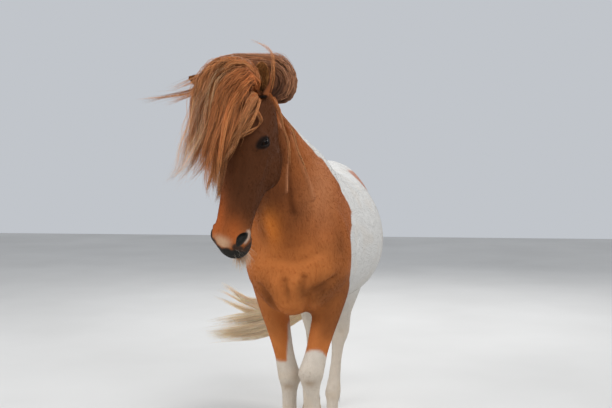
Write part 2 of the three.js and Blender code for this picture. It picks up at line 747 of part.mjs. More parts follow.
/** A mesh of the largest closed surface of a solid, once corners that all but touch are merged. */
function meshOf(name, solid, material) {
  const clean = solidFrom(geometryOf(largest(solid)), new THREE.Matrix4());
  const geometry = geometryOf(largest(clean));
  geometry.computeVertexNormals();
  const mesh = new THREE.Mesh(geometry, material);
  mesh.name = name;
  return mesh;
}

// The head with the forelock, and what sits in it
const FORELOCK = ["forelock_brow", "forelock_over", "wisps", "beard"];
const earSolids = (grow) => join(EARS.map((e) => ear(e, { grow })));
const headWhole = (grow) => join([head(grow), hair(FORELOCK, grow)]);
const body = new THREE.Group();
const headParts = new THREE.Group();
headParts.add(
  meshOf("head", headWhole(0).subtract(headHollows()).subtract(earSolids(GAP)), CHESTNUT),
  ...EARS.map((e) => meshOf(e.name, ear(e).subtract(ear(e, { hollow: true })), CHESTNUT)),
  ...[["eye_left", 1], ["eye_right", -1]].map(([name, side]) => {
    const radii = [EYE_RADIUS, EYE_RADIUS, EYE_RADIUS];
    return meshOf(name, bulge(inHead(side * EYE.x, EYE.y, EYE.z), radii, { frame: headFrame }), EYE_DARK);
  }),
);

// The neck with the mane gives way to the head and the torso
const torsoGrown = torso(GAP);
const NECK_HAIR = ["roll", "heart", "mane_upper", "mane_lower"];
const neckWhole = join([neck(0), hair(NECK_HAIR, 0)]);
const neckSolid = neckWhole.subtract(headWhole(GAP)).subtract(earSolids(GAP)).subtract(torsoGrown);
body.add(meshOf("torso", torso(0), WHITE_COAT), meshOf("neck", neckSolid, CHESTNUT));
const tailWhole = hair(["tail", "tail_low_fan", "tail_high_fan"], 0).subtract(torsoGrown);
body.add(
  meshOf("tail_upper", tailWhole.subtract(below(TAIL_SPLIT + GAP / 2)), FLAXEN),
  meshOf("tail_lower", tailWhole.subtract(above(TAIL_SPLIT - GAP / 2)), FLAXEN),
);

// The legs give way to the torso and to their hooves
const legParts = new THREE.Group();
for (const name of Object.keys(LEGS)) {
  const sections = name.startsWith("fore") ? FORE_SECTIONS : HIND_SECTIONS;
  const whole = leg(name, sections, 0).add(feather(name, 0)).subtract(torsoGrown).subtract(hoof(name, GAP));
  const coat = name.startsWith("fore") ? CHESTNUT : WHITE_COAT;
  const split = LEGS[name].joints[0][2];
  legParts.add(
    meshOf(`leg_${name}_upper`, whole.subtract(below(split + GAP / 2)), coat),
    meshOf(`leg_${name}_lower`, whole.subtract(above(split - GAP / 2)), WHITE_COAT),
    meshOf(`hoof_${name}`, hoof(name, 0), HORN),
  );
}

const horse = new THREE.Group();
horse.add(body, headParts, legParts);
const outline = new THREE.Box3().setFromObject(horse);
const centre = outline.getCenter(vec());
horse.position.set(-centre.x, -centre.y, -outline.min.z);

export default horse;
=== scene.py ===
"""A life-size icelandic horse in mid step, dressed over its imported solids.

The horse faces -Y with its left side towards +X. Lengths are in metres where nothing else is said, and
tables for the head, legs and hair are in millimetres. One skin stands for all flesh. Over it lie short tufts
of coat, and the forelock, mane, tail, feathers and whiskers are strands of solid mesh.
"""

import logging
import math
from collections.abc import Sequence
from dataclasses import dataclass
from enum import Enum
from functools import cached_property

import bpy
import numpy as np
from mathutils import Euler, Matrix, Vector
from numpy.typing import NDArray


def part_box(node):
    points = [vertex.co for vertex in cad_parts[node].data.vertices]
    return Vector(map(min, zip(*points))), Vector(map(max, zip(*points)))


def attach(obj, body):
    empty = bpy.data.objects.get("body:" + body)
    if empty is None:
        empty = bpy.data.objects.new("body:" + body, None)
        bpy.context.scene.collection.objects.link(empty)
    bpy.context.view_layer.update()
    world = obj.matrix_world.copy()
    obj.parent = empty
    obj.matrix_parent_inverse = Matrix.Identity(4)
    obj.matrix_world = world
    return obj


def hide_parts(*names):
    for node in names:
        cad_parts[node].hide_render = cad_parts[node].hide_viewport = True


Array = NDArray[np.float64]
Index = NDArray[np.int64]
Three = tuple[float, float, float]
Rows = tuple[tuple[float, ...], ...]

LOG = logging.getLogger("horse")
MM = 0.001
LEFT = np.array([1.0, 0.0, 0.0])
UP = np.array([0.0, 0.0, 1.0])
BODY = "root"


class Slot(Enum):
    """The record's material slots."""

    CHESTNUT = "chestnut_coat"
    WHITE = "white_coat"
    FLAXEN = "flaxen_hair"
    EYE = "eye"
    HORN = "horn"


def unit(vectors: Array) -> Array:
    """Vectors divided by their lengths, along the last axis."""
    return vectors / np.maximum(np.linalg.norm(vectors, axis=-1, keepdims=True), 1e-12)


def ease(low: float, high: float, value: Array) -> Array:
    """0 below low, 1 above high, and the curve 3t^2 - 2t^3 between them. High may be the smaller one."""
    t = np.clip((value - low) / (high - low), 0, 1)
    return t * t * (3 - 2 * t)


def blob(points: Array, centre: Sequence[float], radii: Sequence[float]) -> Array:
    """A soft spot: e to the power of minus the squared distance from centre, measured in radii."""
    return np.exp(-np.sum(((points - np.asarray(centre)) / np.asarray(radii)) ** 2, axis=-1))


def spotted(points: Array, spots: Sequence[tuple[float, Sequence[float], Sequence[float]]]) -> Array:
    """The sum of some soft spots at each point, each given by its strength, centre and radii."""
    return sum(strength * blob(points, centre, radii) for strength, centre, radii in spots)


def folded(points: Array) -> Array:
    """Points with those of the right side mirrored to the left, in the horse's frame or the head's."""
    return np.abs(points) * [1, 0, 0] + points * [0, 1, 1]


def glide(rows: Array, places: Array) -> Array:
    """The Catmull-Rom curve through evenly spaced rows.

    Args:
        rows: what the curve passes through, one row for each whole number from 0.
        places: where to read it, from 0 to the number of rows less one.

    Returns:
        One row for each place.
    """
    last = len(rows) - 1
    low = np.clip(np.floor(places).astype(int), 0, last - 1)
    share = (places - low).reshape(-1, *([1] * (rows.ndim - 1)))
    a, b, c, d = (rows[np.clip(low + k, 0, last)] for k in (-1, 0, 1, 2))
    curve = 2 * a - 5 * b + 4 * c - d + share * (3 * (b - c) + d - a)
    return b + 0.5 * share * (c - a + share * curve)


def noise(points: Array, size: float, seed: int = 0) -> Array:
    """Smooth value noise from -1 to 1: random numbers on a lattice, eased between its eight nearest corners.

    Args:
        points: where to read it.
        size: the lattice's cell.
        seed: which noise.

    Returns:
        One number for each point.
    """
    cell = np.floor(points / size).astype(np.int64)
    share = points / size - cell
    share = share * share * (3 - 2 * share)
    total = np.zeros(len(points))
    for corner in np.ndindex(2, 2, 2):
        at = cell + np.array(corner)
        key = (at[:, 0] * 73856093) ^ (at[:, 1] * 19349663) ^ (at[:, 2] * 83492791) ^ (seed * 2654435761)
        key = (key ^ (key >> 13)) * 1274126177 & 0xFFFFFFFF
        value = ((key ^ (key >> 16)) & 0xFFFF) / 32767.5 - 1
        total += value * np.prod(np.where(np.array(corner) == 1, share, 1 - share), axis=1)
    return total


def tone(red: float, green: float, blue: float) -> Array:
    """A colour given as it shows on screen, from 0 to 255, as linear light."""
    shown = np.array([red, green, blue]) / 255
    return np.where(shown <= 0.04045, shown / 12.92, ((shown + 0.055) / 1.055) ** 2.4)


@dataclass
class Surface:
    """Points and the faces between them, each entry of faces being an array of triangles or of quads."""

    points: Array
    faces: list[Index]

    @staticmethod
    def joined(parts: Sequence["Surface"]) -> "Surface":
        """Several surfaces as one."""
        starts = np.cumsum([0] + [len(part.points) for part in parts])
        faces = [face + start for part, start in zip(parts, starts) for face in part.faces]
        return Surface(np.concatenate([part.points for part in parts]), faces)

    def mesh(self, name: str) -> bpy.types.Mesh:
        """The surface as a smooth-shaded mesh."""
        mesh = bpy.data.meshes.new(name)
        loops = np.concatenate([face.ravel() for face in self.faces])
        sizes = np.concatenate([np.full(len(face), face.shape[1]) for face in self.faces])
        mesh.vertices.add(len(self.points))
        mesh.vertices.foreach_set("co", self.points.astype(np.float32).ravel())
        mesh.loops.add(len(loops))
        mesh.polygons.add(len(sizes))
        mesh.polygons.foreach_set("loop_start", (np.cumsum(sizes) - sizes).astype(np.int32))
        mesh.polygons.foreach_set("vertices", loops.astype(np.int32))
        mesh.polygons.foreach_set("use_smooth", np.ones(len(sizes), bool))
        mesh.update(calc_edges=True)
        return mesh

    @staticmethod
    def read(mesh: bpy.types.Mesh) -> "Surface":
        """The points and faces of a mesh of quads and triangles."""
        points = np.empty(len(mesh.vertices) * 3, np.float32)
        mesh.vertices.foreach_get("co", points)
        loops = np.empty(len(mesh.loops), np.int32)
        mesh.loops.foreach_get("vertex_index", loops)
        sizes = np.empty(len(mesh.polygons), np.int32)
        mesh.polygons.foreach_get("loop_total", sizes)
        starts = np.cumsum(sizes) - sizes
        corners = [starts[sizes == n][:, None] + np.arange(n) for n in (3, 4) if np.any(sizes == n)]
        faces = [loops[each].astype(np.int64) for each in corners]
        return Surface(points.reshape(-1, 3).astype(float), faces)

    def triangles(self) -> Index:
        """All faces as triangles, each quad cut along its first diagonal."""
        halves = ([0, 1, 2], [0, 2, 3])
        return np.concatenate([face[:, half] for face in self.faces for half in halves[:face.shape[1] - 2]])

    def normals(self) -> Array:
        """The normal at each point, the mean of its triangles' normals weighed by area."""
        corners = self.triangles()
        a, b, c = (self.points[corners[:, k]] for k in range(3))
        cross = np.cross(b - a, c - a)
        total = np.zeros_like(self.points)
        for k in range(3):
            np.add.at(total, corners[:, k], cross)
        return unit(total)

    def relaxed(self, rounds: int, share: Array | float = 0.5) -> "Surface":
        """The surface with each point moved a share of the way to its neighbours' mean, some rounds over.

        Args:
            rounds: how many times.
            share: the share of the way, for all points or for each.

        Returns:
            The softer surface.
        """
        pairs = [np.stack([face, np.roll(face, -1, axis=1)], -1).reshape(-1, 2) for face in self.faces]
        edges = np.concatenate(pairs)
        one, two = np.concatenate([edges, edges[:, ::-1]]).T
        count = np.bincount(one, minlength=len(self.points))[:, None]
        points = self.points.copy()
        weight = np.broadcast_to(np.asarray(share), (len(points),))[:, None]
        for _ in range(rounds):
            mean = np.stack([np.bincount(one, points[two, k], len(points)) for k in range(3)], -1) / count
            points += weight * (mean - points)
        return Surface(points, self.faces)


def grid_faces(rows: int, columns: int, wrap: bool) -> Index:
    """Quads over a grid of points, row after row, with its last column joined to the first if it wraps.

    Args:
        rows: how many rows of points.
        columns: how many in each row.
        wrap: whether its last column joins the first.

    Returns:
        The quads.
    """
    row, column = np.meshgrid(np.arange(rows - 1), np.arange(columns if wrap else columns - 1), indexing="ij")
    low, high = row * columns, (row + 1) * columns
    after = (column + 1) % columns
    return np.stack([low + column, low + after, high + after, high + column], -1).reshape(-1, 4)


def tube(rings: Array) -> Surface:
    """A closed surface with a fan at each end, through rings of points of shape (rings, points, 3).

    Args:
        rings: the rings, all with as many points.

    Returns:
        The surface, facing out.
    """
    rows, columns = rings.shape[:2]
    points = np.concatenate([rings.reshape(-1, 3), rings[[0, -1]].mean(axis=1)])
    first, last = rows * columns, rows * columns + 1
    here = np.arange(columns)
    after = (here + 1) % columns
    end = (rows - 1) * columns
    fans = np.concatenate([np.stack([np.full(columns, first), after, here], -1),
                           np.stack([np.full(columns, last), end + here, end + after], -1)])
    surface = Surface(points, [grid_faces(rows, columns, True), fans])
    a, b, c = (points[surface.triangles()[:, k]] for k in range(3))
    if np.sum(a * np.cross(b, c)) < 0:
        surface.faces = [face[:, ::-1] for face in surface.faces]
    return surface


@dataclass(frozen=True)
class Loft:
    """Sections along a path. A section is two half superellipses in the plane of side and up.

    Attributes:
        at: the middle of each section.
        side: the direction of its half width, one for each section.
        up: the direction of its front, one for each section.
        wide: its half width.
        front: its reach towards up.
        back: its reach away from up.
        fore: the exponent of its front half: 2 is an ellipse, less is sharper and more is squarer.
        aft: the exponent of its back half.
    """

    at: Array
    side: Array
    up: Array
    wide: Array
    front: Array
    back: Array
    fore: Array
    aft: Array

    def rings(self, points: int, steps: int, grow: float = 0.0) -> Array:
        """Rings of points along the loft.

        Args:
            points: how many on each ring.
            steps: rings from one section to the next.
            grow: how much fatter it is made.

        Returns:
            An array of shape (rings, points, 3).
        """
        t = np.linspace(0, len(self.at) - 1, (len(self.at) - 1) * steps + 1)
        at, side, up = glide(self.at, t), unit(glide(self.side, t)), unit(glide(self.up, t))
        wide, front, back, fore, aft = (
            glide(row, t)[:, None] for row in (self.wide, self.front, self.back, self.fore, self.aft)
        )
        heading = unit(np.gradient(at, axis=0))
        at[0] -= grow * heading[0]
        at[-1] += grow * heading[-1]
        angle = 2 * np.pi * np.arange(points) / points
        c, s = np.cos(angle)[None], np.sin(angle)[None]
        bend = 2 / np.where(s > 0, fore, aft)
        across = np.sign(c) * (wide + grow) * np.abs(c) ** bend
        rise = np.sign(s) * (np.where(s > 0, front, back) + grow) * np.abs(s) ** bend
        return at[:, None] + across[..., None] * side[:, None] + rise[..., None] * up[:, None]

    def surface(self, points: int, steps: int, grow: float = 0.0) -> Surface:
        """The loft as a closed surface."""
        return tube(self.rings(points, steps, grow))


def globe(latitude: Array, columns: int) -> Array:
    """Rings of points on a sphere of radius 1 round z, one for each latitude, an angle from the pole.

    Args:
        latitude: the angle of each ring from the pole.
        columns: points on each ring.

    Returns:
        An array of shape (rings, points, 3).
    """
    angle = np.linspace(0, 2 * np.pi, columns, endpoint=False)[None]
    around, down = np.sin(latitude)[:, None], np.cos(latitude)[:, None]
    return np.stack([around * np.cos(angle), around * np.sin(angle), down + 0 * angle], -1)


def ellipsoid(centre: Array, radii: Sequence[float], axes: Array, grow: float = 0.0) -> Surface:
    """A closed ellipsoid: rings of latitude between two poles, its half axes along the rows of axes.

    Args:
        centre: its middle.
        radii: its half axes.
        axes: their ways, as rows.
        grow: how much longer they are made.

    Returns:
        The surface.
    """
    sphere = globe(np.linspace(0.02, np.pi - 0.02, 24), 36)
    return tube(centre + (sphere * (np.asarray(radii) + grow)) @ axes)


def axes_along(way: Sequence[float]) -> Array:
    """Three axes as rows: the second runs along way, turned from +Y the short way round."""
    turn = Vector((0, 1, 0)).rotation_difference(Vector(way).normalized()).to_matrix()
    return np.array(turn).T


@dataclass(frozen=True)
class Frame:
    """A place and the axes of something on the horse, in the horse's own modelling frame, in metres."""

    origin: Array
    axes: Array

    def out(self, points: Sequence[float] | Array) -> Array:
        """Points given along this frame's axes, in the horse's frame."""
        return self.origin + np.asarray(points, float) @ self.axes

    def within(self, points: Array) -> Array:
        """Points of the horse's frame, along this frame's axes."""
        return (points - self.origin) @ self.axes.T


@dataclass(frozen=True)
class HeadPose:
    """Where the head is carried and how it is turned.

    Attributes:
        poll: the top of the skull.
        turn: the turn to the horse's right of its body, in degrees.
        tilt: the face line's lean out of the upright, in degrees.
        eye: an eye's middle in the head's frame, in millimetres, on the left side.
    """

    poll: Three = (-0.055, -1.077, 1.580)
    turn: float = 21.0
    tilt: float = 15.0
    eye: Three = (86.0, 4.0, 190.0)

    @cached_property
    def frame(self) -> Frame:
        """The head's frame: x to its left, y out of the face, z from the poll down to the lips."""
        turn, tilt = math.radians(self.turn), math.radians(self.tilt)
        facing = np.array([-math.sin(turn), -math.cos(turn), 0])
        left = np.array([math.cos(turn), -math.sin(turn), 0])
        out = math.cos(tilt) * facing + math.sin(tilt) * UP
        down = math.sin(tilt) * facing - math.cos(tilt) * UP
        return Frame(np.array(self.poll), np.stack([left, out, down]))


HEAD = HeadPose()


def stations(rows: Sequence[Sequence[float]]) -> Array:
    """Rows of millimetres as an array of metres."""
    return np.array(rows, float) * MM


@dataclass(frozen=True)
class Limb:
    """A leg: its foot on the floor and its joints, in millimetres.

    Attributes:
        toe: where the toe stands.
        lift: how far the heel is raised, in degrees.
        joints: knee or hock, elbow or stifle, and shoulder or hip.
        fetlock: the fetlock's place behind and above the toe of a flat foot.
        coronet: the hair line's place, given as the fetlock's.
        hoof: the hoof's half width and length on the floor.
        fore: whether it is a foreleg.
        girth: how much thicker than its sections it is, below the elbow or stifle.
    """

    toe: Three
    lift: float
    joints: tuple[Three, ...]
    fetlock: Three
    coronet: Three
    hoof: tuple[float, float]
    fore: bool
    girth: float = 1.0

    FLOOR_BITE = 3.0
    FORE_SECTIONS = (
        (-0.1, 38, 38, 34), (0.3, 33, 31, 31), (0.68, 31, 29, 30), (1, 38, 35, 42), (1.22, 34, 29, 39),
        (1.5, 32, 27, 38), (1.76, 34, 29, 37), (1.88, 40, 36, 38), (2, 47, 43, 44), (2.11, 44, 42, 40),
        (2.26, 41, 42, 40), (2.5, 47, 56, 52), (2.75, 60, 76, 74), (3, 68, 86, 92), (3.4, 72, 88, 100),
        (4, 60, 70, 80),
    )
    HIND_SECTIONS = (
        (-0.1, 38, 37, 34), (0.3, 30, 29, 29), (0.68, 29, 28, 29), (1, 37, 34, 43), (1.2, 31, 28, 40),
        (1.5, 27, 27, 38), (1.74, 30, 31, 40), (1.9, 40, 38, 46), (2, 46, 42, 54), (2.12, 43, 42, 64),
        (2.3, 40, 50, 60), (2.5, 52, 70, 70), (2.75, 70, 104, 100), (3, 88, 140, 150), (3.5, 104, 150, 210),
        (4, 92, 120, 150),
    )

    @cached_property
    def foot(self) -> Frame:
        """The foot's frame, with its origin at the toe."""
        turn = math.radians(self.lift)
        axes = np.array([LEFT, [0, math.cos(turn), math.sin(turn)], [0, -math.sin(turn), math.cos(turn)]])
        bite = -self.FLOOR_BITE if self.lift else 0.0
        return Frame(np.array([self.toe[0], self.toe[1], bite]) * MM, axes)

    @cached_property
    def points(self) -> Array:
        """The line of the leg: coronet, fetlock and joints."""
        low = self.foot.out(np.array([self.coronet, self.fetlock]) * MM)
        return np.concatenate([low, np.array(self.joints) * MM])

    def loft(self, first: int = 0) -> Loft:
        """The leg's loft from one of its sections up into the body.

        Args:
            first: the first section used.

        Returns:
            The loft.
        """
        along, wide, front, back = np.array((self.FORE_SECTIONS if self.fore else self.HIND_SECTIONS)).T
        low = np.clip(np.floor(along).astype(int), 0, len(self.points) - 2)
        share = (along - low)[:, None]
        at = self.points[low] * (1 - share) + self.points[low + 1] * share
        way = unit(np.concatenate([at[1:], at[-1:]]) - np.concatenate([at[:1], at[:-1]]))
        side = np.broadcast_to(LEFT, at.shape)
        more = 1 + (self.girth - 1) * ease(2.9, 2.3, along)
        wide, front, back = wide * more, front * more, back * more
        two = np.full(len(at), 2.0)
        rows = (at, side, np.cross(side, way), wide * MM, front * MM, back * MM, two, two)
        return Loft(*(row[first:] for row in rows))

    def line_at(self, heights: Array) -> tuple[Array, Array]:
        """The x and the y of the leg's line at these heights."""
        line = self.points[np.argsort(self.points[:, 2])]
        return np.interp(heights, line[:, 2], line[:, 0]), np.interp(heights, line[:, 2], line[:, 1])

    def near(self, points: Array) -> Array:
        """Each point's level distance from the line of the leg at the point's own height."""
        x, y = self.line_at(points[:, 2])
        return np.hypot(points[:, 0] - x, points[:, 1] - y)


FORE = {"fetlock": (0, 135, 192), "coronet": (0, 92, 72), "hoof": (56, 126), "fore": True}
HIND = {"fetlock": (0, 124, 205), "coronet": (0, 86, 72), "hoof": (52, 120), "fore": False}
LIMBS = {
    "fore_left": Limb((62, -507, 0), 26, ((60, -500, 478), (138, -398, 800), (142, -440, 940)),
                      **FORE, girth=1.2),
    "fore_right": Limb((-46, -542, 0), 0, ((-44, -412, 440), (-130, -385, 790), (-142, -430, 940)),
                       **FORE, girth=1.1),
    "hind_left": Limb((56, 98, 0), 0, ((80, 300, 500), (150, 195, 830), (132, 440, 1090)),
                      **HIND, girth=1.12),
    "hind_right": Limb((-110, 542, 0), 0, ((-118, 612, 515), (-152, 375, 795), (-132, 450, 1090)),
                       **HIND, girth=1.1),
}


def near_legs(points: Array) -> Array:
    """Each point's level distance from each leg's line, one row for each leg."""
    return np.stack([limb.near(points) for limb in LIMBS.values()])


@dataclass(frozen=True)
class Flesh:
    """The forms under the skin: barrel, neck and head as lofts, and the muscles and bones on them.

    Attributes:
        torso_rows: y, top, bottom, height of the widest place, half width and front exponent, in millimetres.
        neck_rows: crest and throat, in millimetres, and half width.
        head_rows: distance from the poll, front, back, half width and where it is widest, and two exponents.
        muscle_rows: middle, half axes and the way of the second, for shoulder, breast, haunch and flank.
        bone_rows: middle and half axes in the head's frame, for cheek, brow, facial ridge and muzzle side.
        chin_row: the chin's middle and half axes.
    """

    torso_rows: Rows = (
        (-652, 1000, 860, 930, 70, 2), (-628, 1095, 800, 930, 138, 2), (-570, 1190, 748, 940, 184, 2),
        (-490, 1290, 720, 960, 212, 1.9), (-405, 1378, 712, 980, 226, 1.7), (-330, 1410, 712, 985, 233, 1.6),
        (-230, 1393, 708, 985, 250, 1.65), (-110, 1342, 697, 980, 282, 1.85), (20, 1318, 682, 975, 308, 2),
        (140, 1316, 676, 975, 316, 2), (260, 1332, 692, 990, 300, 1.9), (375, 1352, 738, 1030, 264, 1.85),
        (480, 1360, 792, 1065, 240, 1.8), (580, 1342, 850, 1075, 226, 1.8), (670, 1295, 900, 1070, 192, 1.85),
        (735, 1212, 950, 1062, 138, 2), (765, 1130, 1000, 1060, 60, 2),
    )
    neck_rows: tuple[tuple[tuple[float, ...], tuple[float, ...], float], ...] = (
        ((-57, -1062, 1582), (-72, -960, 1375), 66), ((-50, -960, 1575), (-64, -880, 1290), 88),
        ((-40, -840, 1548), (-50, -790, 1185), 104), ((-28, -710, 1507), (-32, -718, 1085), 126),
        ((-14, -570, 1464), (-14, -655, 985), 154), ((-5, -440, 1430), (0, -560, 905), 182),
        ((0, -330, 1398), (0, -420, 850), 190),
    )
    head_rows: Rows = (
        (-22, -20, -80, 32, -50, 2, 2), (0, 12, -112, 58, -45, 2, 2), (55, 40, -138, 76, -35, 2.2, 2),
        (125, 56, -165, 90, -20, 2.3, 2), (190, 58, -182, 96, -15, 2.3, 1.8),
        (255, 50, -180, 86, -25, 2.3, 1.8), (325, 41, -148, 70, -35, 2.3, 1.9),
        (400, 34, -108, 58, -35, 2.2, 2), (465, 30, -88, 56, -30, 2.2, 2.2),
        (515, 28, -82, 62, -26, 2.2, 2.3), (548, 20, -78, 59, -28, 2.2, 2.3), (570, 2, -66, 46, -30, 2, 2),
        (578, -18, -48, 22, -32, 2, 2),
    )
    muscle_rows: tuple[Rows, ...] = (
        ((92, -440, 965), (136, 160, 255), (0, 1, 0.3)), ((62, -520, 870), (98, 132, 140), (0, 1, 0)),
        ((108, 520, 1010), (136, 220, 250), (0, 1, 0)), ((130, 300, 870), (112, 170, 170), (0, 1, 0)),
    )
    bone_rows: tuple[Rows, ...] = (
        ((52, -105, 235), (34, 72, 88)), ((76, 2, 190), (27, 33, 44)), ((62, -8, 285), (15, 14, 62)),
        ((44, -12, 524), (24, 36, 34)),
    )
    chin_row: Rows = ((0, -70, 540), (34, 20, 30))

    def torso(self) -> Loft:
        """The barrel, from the breast to the buttocks."""
        y, top, bottom, middle, wide, fore = stations(self.torso_rows).T
        at = np.stack([0 * y, y, middle], -1)
        side, up = np.broadcast_to(LEFT, at.shape), np.broadcast_to(UP, at.shape)
        return Loft(at, side, up, wide, top - middle, middle - bottom, fore / MM, np.full(len(y), 2.15))

    def neck(self) -> Loft:
        """The neck, from the poll to the withers, each section given by its crest and throat."""
        crest, throat = (stations([row[k] for row in self.neck_rows]) for k in (0, 1))
        depth = np.linalg.norm(crest - throat, axis=1)
        wide = stations([row[2] for row in self.neck_rows])
        at = crest + 0.45 * (throat - crest)
        side = np.broadcast_to(LEFT, at.shape)
        return Loft(at, side, crest - throat, wide, 0.45 * depth, 0.55 * depth,
                    np.full(len(at), 1.9), np.full(len(at), 2.0))

    def head(self) -> Loft:
        """The skull and muzzle, from the poll to the lips."""
        along, front, back, wide, middle, fore, aft = stations(self.head_rows).T
        at = HEAD.frame.out(np.stack([0 * along, middle, along], -1))
        left, out = (np.broadcast_to(HEAD.frame.axes[k], at.shape) for k in (0, 1))
        return Loft(at, left, out, wide, front - middle, middle - back, fore / MM, aft / MM)

    def muscles(self, grow: float) -> list[Surface]:
        """The muscles on both sides, each an ellipsoid."""
        return [ellipsoid(np.array([side * x, y, z]) * MM, np.array(radii) * MM, axes_along(way), grow)
                for (x, y, z), radii, way in self.muscle_rows for side in (-1, 1)]

    def head_forms(self, grow: float) -> list[Surface]:
        """The bones of the head on both sides and the chin, each an ellipsoid."""
        rows = [((side * x, y, z), radii) for side in (-1, 1) for (x, y, z), radii in self.bone_rows]
        return [ellipsoid(HEAD.frame.out(np.array(middle) * MM), np.array(radii) * MM, HEAD.frame.axes, grow)
                for middle, radii in (*rows, self.chin_row)]


FLESH = Flesh()

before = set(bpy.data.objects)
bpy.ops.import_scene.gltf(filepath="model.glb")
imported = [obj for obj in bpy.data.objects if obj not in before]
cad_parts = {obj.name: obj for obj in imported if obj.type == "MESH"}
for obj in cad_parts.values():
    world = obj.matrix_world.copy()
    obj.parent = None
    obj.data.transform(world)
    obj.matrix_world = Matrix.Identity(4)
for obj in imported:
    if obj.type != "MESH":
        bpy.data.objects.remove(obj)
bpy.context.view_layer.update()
EYE_MIDDLE = np.mean([list(corner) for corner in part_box("eye_left")], axis=0)

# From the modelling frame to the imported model's own.
PLACE = EYE_MIDDLE - HEAD.frame.out(np.array(HEAD.eye) * MM)

# How far the muzzle is raised for each unit of distance to the right of the head's middle.
ASKEW = 0.36

# How far the muzzle's end is drawn back, in millimetres.
SHORTER = 9.0


def in_head(points: Array) -> Array:
    """Points in the head's frame, in millimetres."""
    return HEAD.frame.within(points) / MM


def raised(head: Array) -> Array:
    """How far the muzzle is drawn up the head, in millimetres: its right side, carried askew, and its end.

    Args:
        head: points of the head's frame.

    Returns:
        One length for each point.
    """
    askew = ASKEW * np.maximum(-head[..., 0], 0) * ease(400, 500, head[..., 2])
    return (askew + SHORTER * ease(500, 590, head[..., 2])) * of_head(head)


def bent(head: Array) -> Array:
    """Points of the head's frame with the muzzle raised."""
    rise = raised(head)
    return head - np.stack([0 * rise, 0 * rise, rise], -1)


def in_face(points: Array) -> Array:
    """Points in the head's frame as they lay before the muzzle was bent, in millimetres.

    Args:
        points: points of the horse's frame.

    Returns:
        The same points, for tables made before the muzzle was bent.
    """
    head = in_head(points)
    flat = head.copy()
    for _ in range(3):
        flat[:, 2] = head[:, 2] + raised(flat)
    return flat


def of_head(points: Array) -> Array:
    """How much each point of the head's frame belongs to the head, from 0 on the neck to 1 on the face.

    Args:
        points: points of the head's frame, in millimetres.

    Returns:
        One share for each point.
    """
    x, y, z = np.moveaxis(points, -1, 0)
    line = z + 0.62 * (y + 40)
    return ease(-30, 40, line) * ease(-330, -240, y) * ease(260, 160, np.abs(x))


def from_line(points: Array, line: Sequence[Sequence[float]] | Array) -> Array:
    """Each point's distance from a line through some places, the least over its straight stretches.

    Args:
        points: where to measure from.
        line: the places, in the same frame.

    Returns:
        One distance for each point.
    """
    places = np.asarray(line, float)
    least = np.full(len(points), np.inf)
    for start, end in zip(places[:-1], places[1:]):
        way = end - start
        share = np.clip((points - start) @ way / (way @ way), 0, 1)[:, None]
        least = np.minimum(least, np.linalg.norm(points - start - share * way, axis=1))
    return least


def refined(surface: Surface, inside: Array) -> Surface:
    """The surface with each edge between two inside points cut in half.

    A face cut on all its edges becomes one quad at each corner round a new middle point. A face cut on some
    edges becomes a fan of triangles round its middle.

    Args:
        surface: triangles and quads.
        inside: whether each point is inside.

    Returns:
        The finer surface.
    """
    count = len(surface.points)
    keys = []
    for face in surface.faces:
        after = np.roll(face, -1, axis=1)
        keys.append(np.minimum(face, after) * count + np.maximum(face, after))
    flat = np.concatenate([key.ravel() for key in keys])
    split = np.unique(flat[inside[flat // count] & inside[flat % count]])
    points = [surface.points, (surface.points[split // count] + surface.points[split % count]) / 2]
    faces: list[Index] = []
    start = count + len(split)
    for face, key in zip(surface.faces, keys):
        cut = np.isin(key, split)
        middle = count + np.searchsorted(split, key)
        whole, some = cut.all(axis=1), cut.any(axis=1) & ~cut.all(axis=1)
        faces.append(face[~cut.any(axis=1)])
        for chosen in (whole, some):
            points.append(surface.points[face[chosen]].mean(axis=1))
        centre = start + np.arange(whole.sum())
        for k in range(face.shape[1]):
            faces.append(np.stack([face[whole, k], middle[whole, k], centre, middle[whole, k - 1]], -1))
        start += whole.sum()
        centre = start + np.arange(some.sum())
        start += some.sum()
        for k in range(face.shape[1]):
            here, after, halved = face[some, k], face[some, (k + 1) % face.shape[1]], cut[some, k]
            faces.append(np.stack([here, after, centre], -1)[~halved])
            faces.append(np.stack([here, middle[some, k], centre], -1)[halved])
            faces.append(np.stack([middle[some, k], after, centre], -1)[halved])
    merged = [np.concatenate([face for face in faces if face.shape[1] == n]) for n in (3, 4)]
    return Surface(np.concatenate(points), merged)


def fused(parts: Sequence[Surface], voxel: float) -> Surface:
    """One closed surface round several closed ones that run into each other, by a voxel remesh.

    Args:
        parts: closed surfaces.
        voxel: the size of the grid they are sampled on.

    Returns:
        The surface round them all.
    """
    holder = bpy.data.objects.new("fused", Surface.joined(parts).mesh("fused"))
    bpy.context.scene.collection.objects.link(holder)
    change = holder.modifiers.new("remesh", "REMESH")
    change.mode = "VOXEL"
    change.voxel_size = voxel
    result = bpy.data.meshes.new_from_object(holder.evaluated_get(bpy.context.evaluated_depsgraph_get()))
    surface = Surface.read(result)
    bpy.data.meshes.remove(holder.data)
    bpy.data.meshes.remove(result)
    return surface


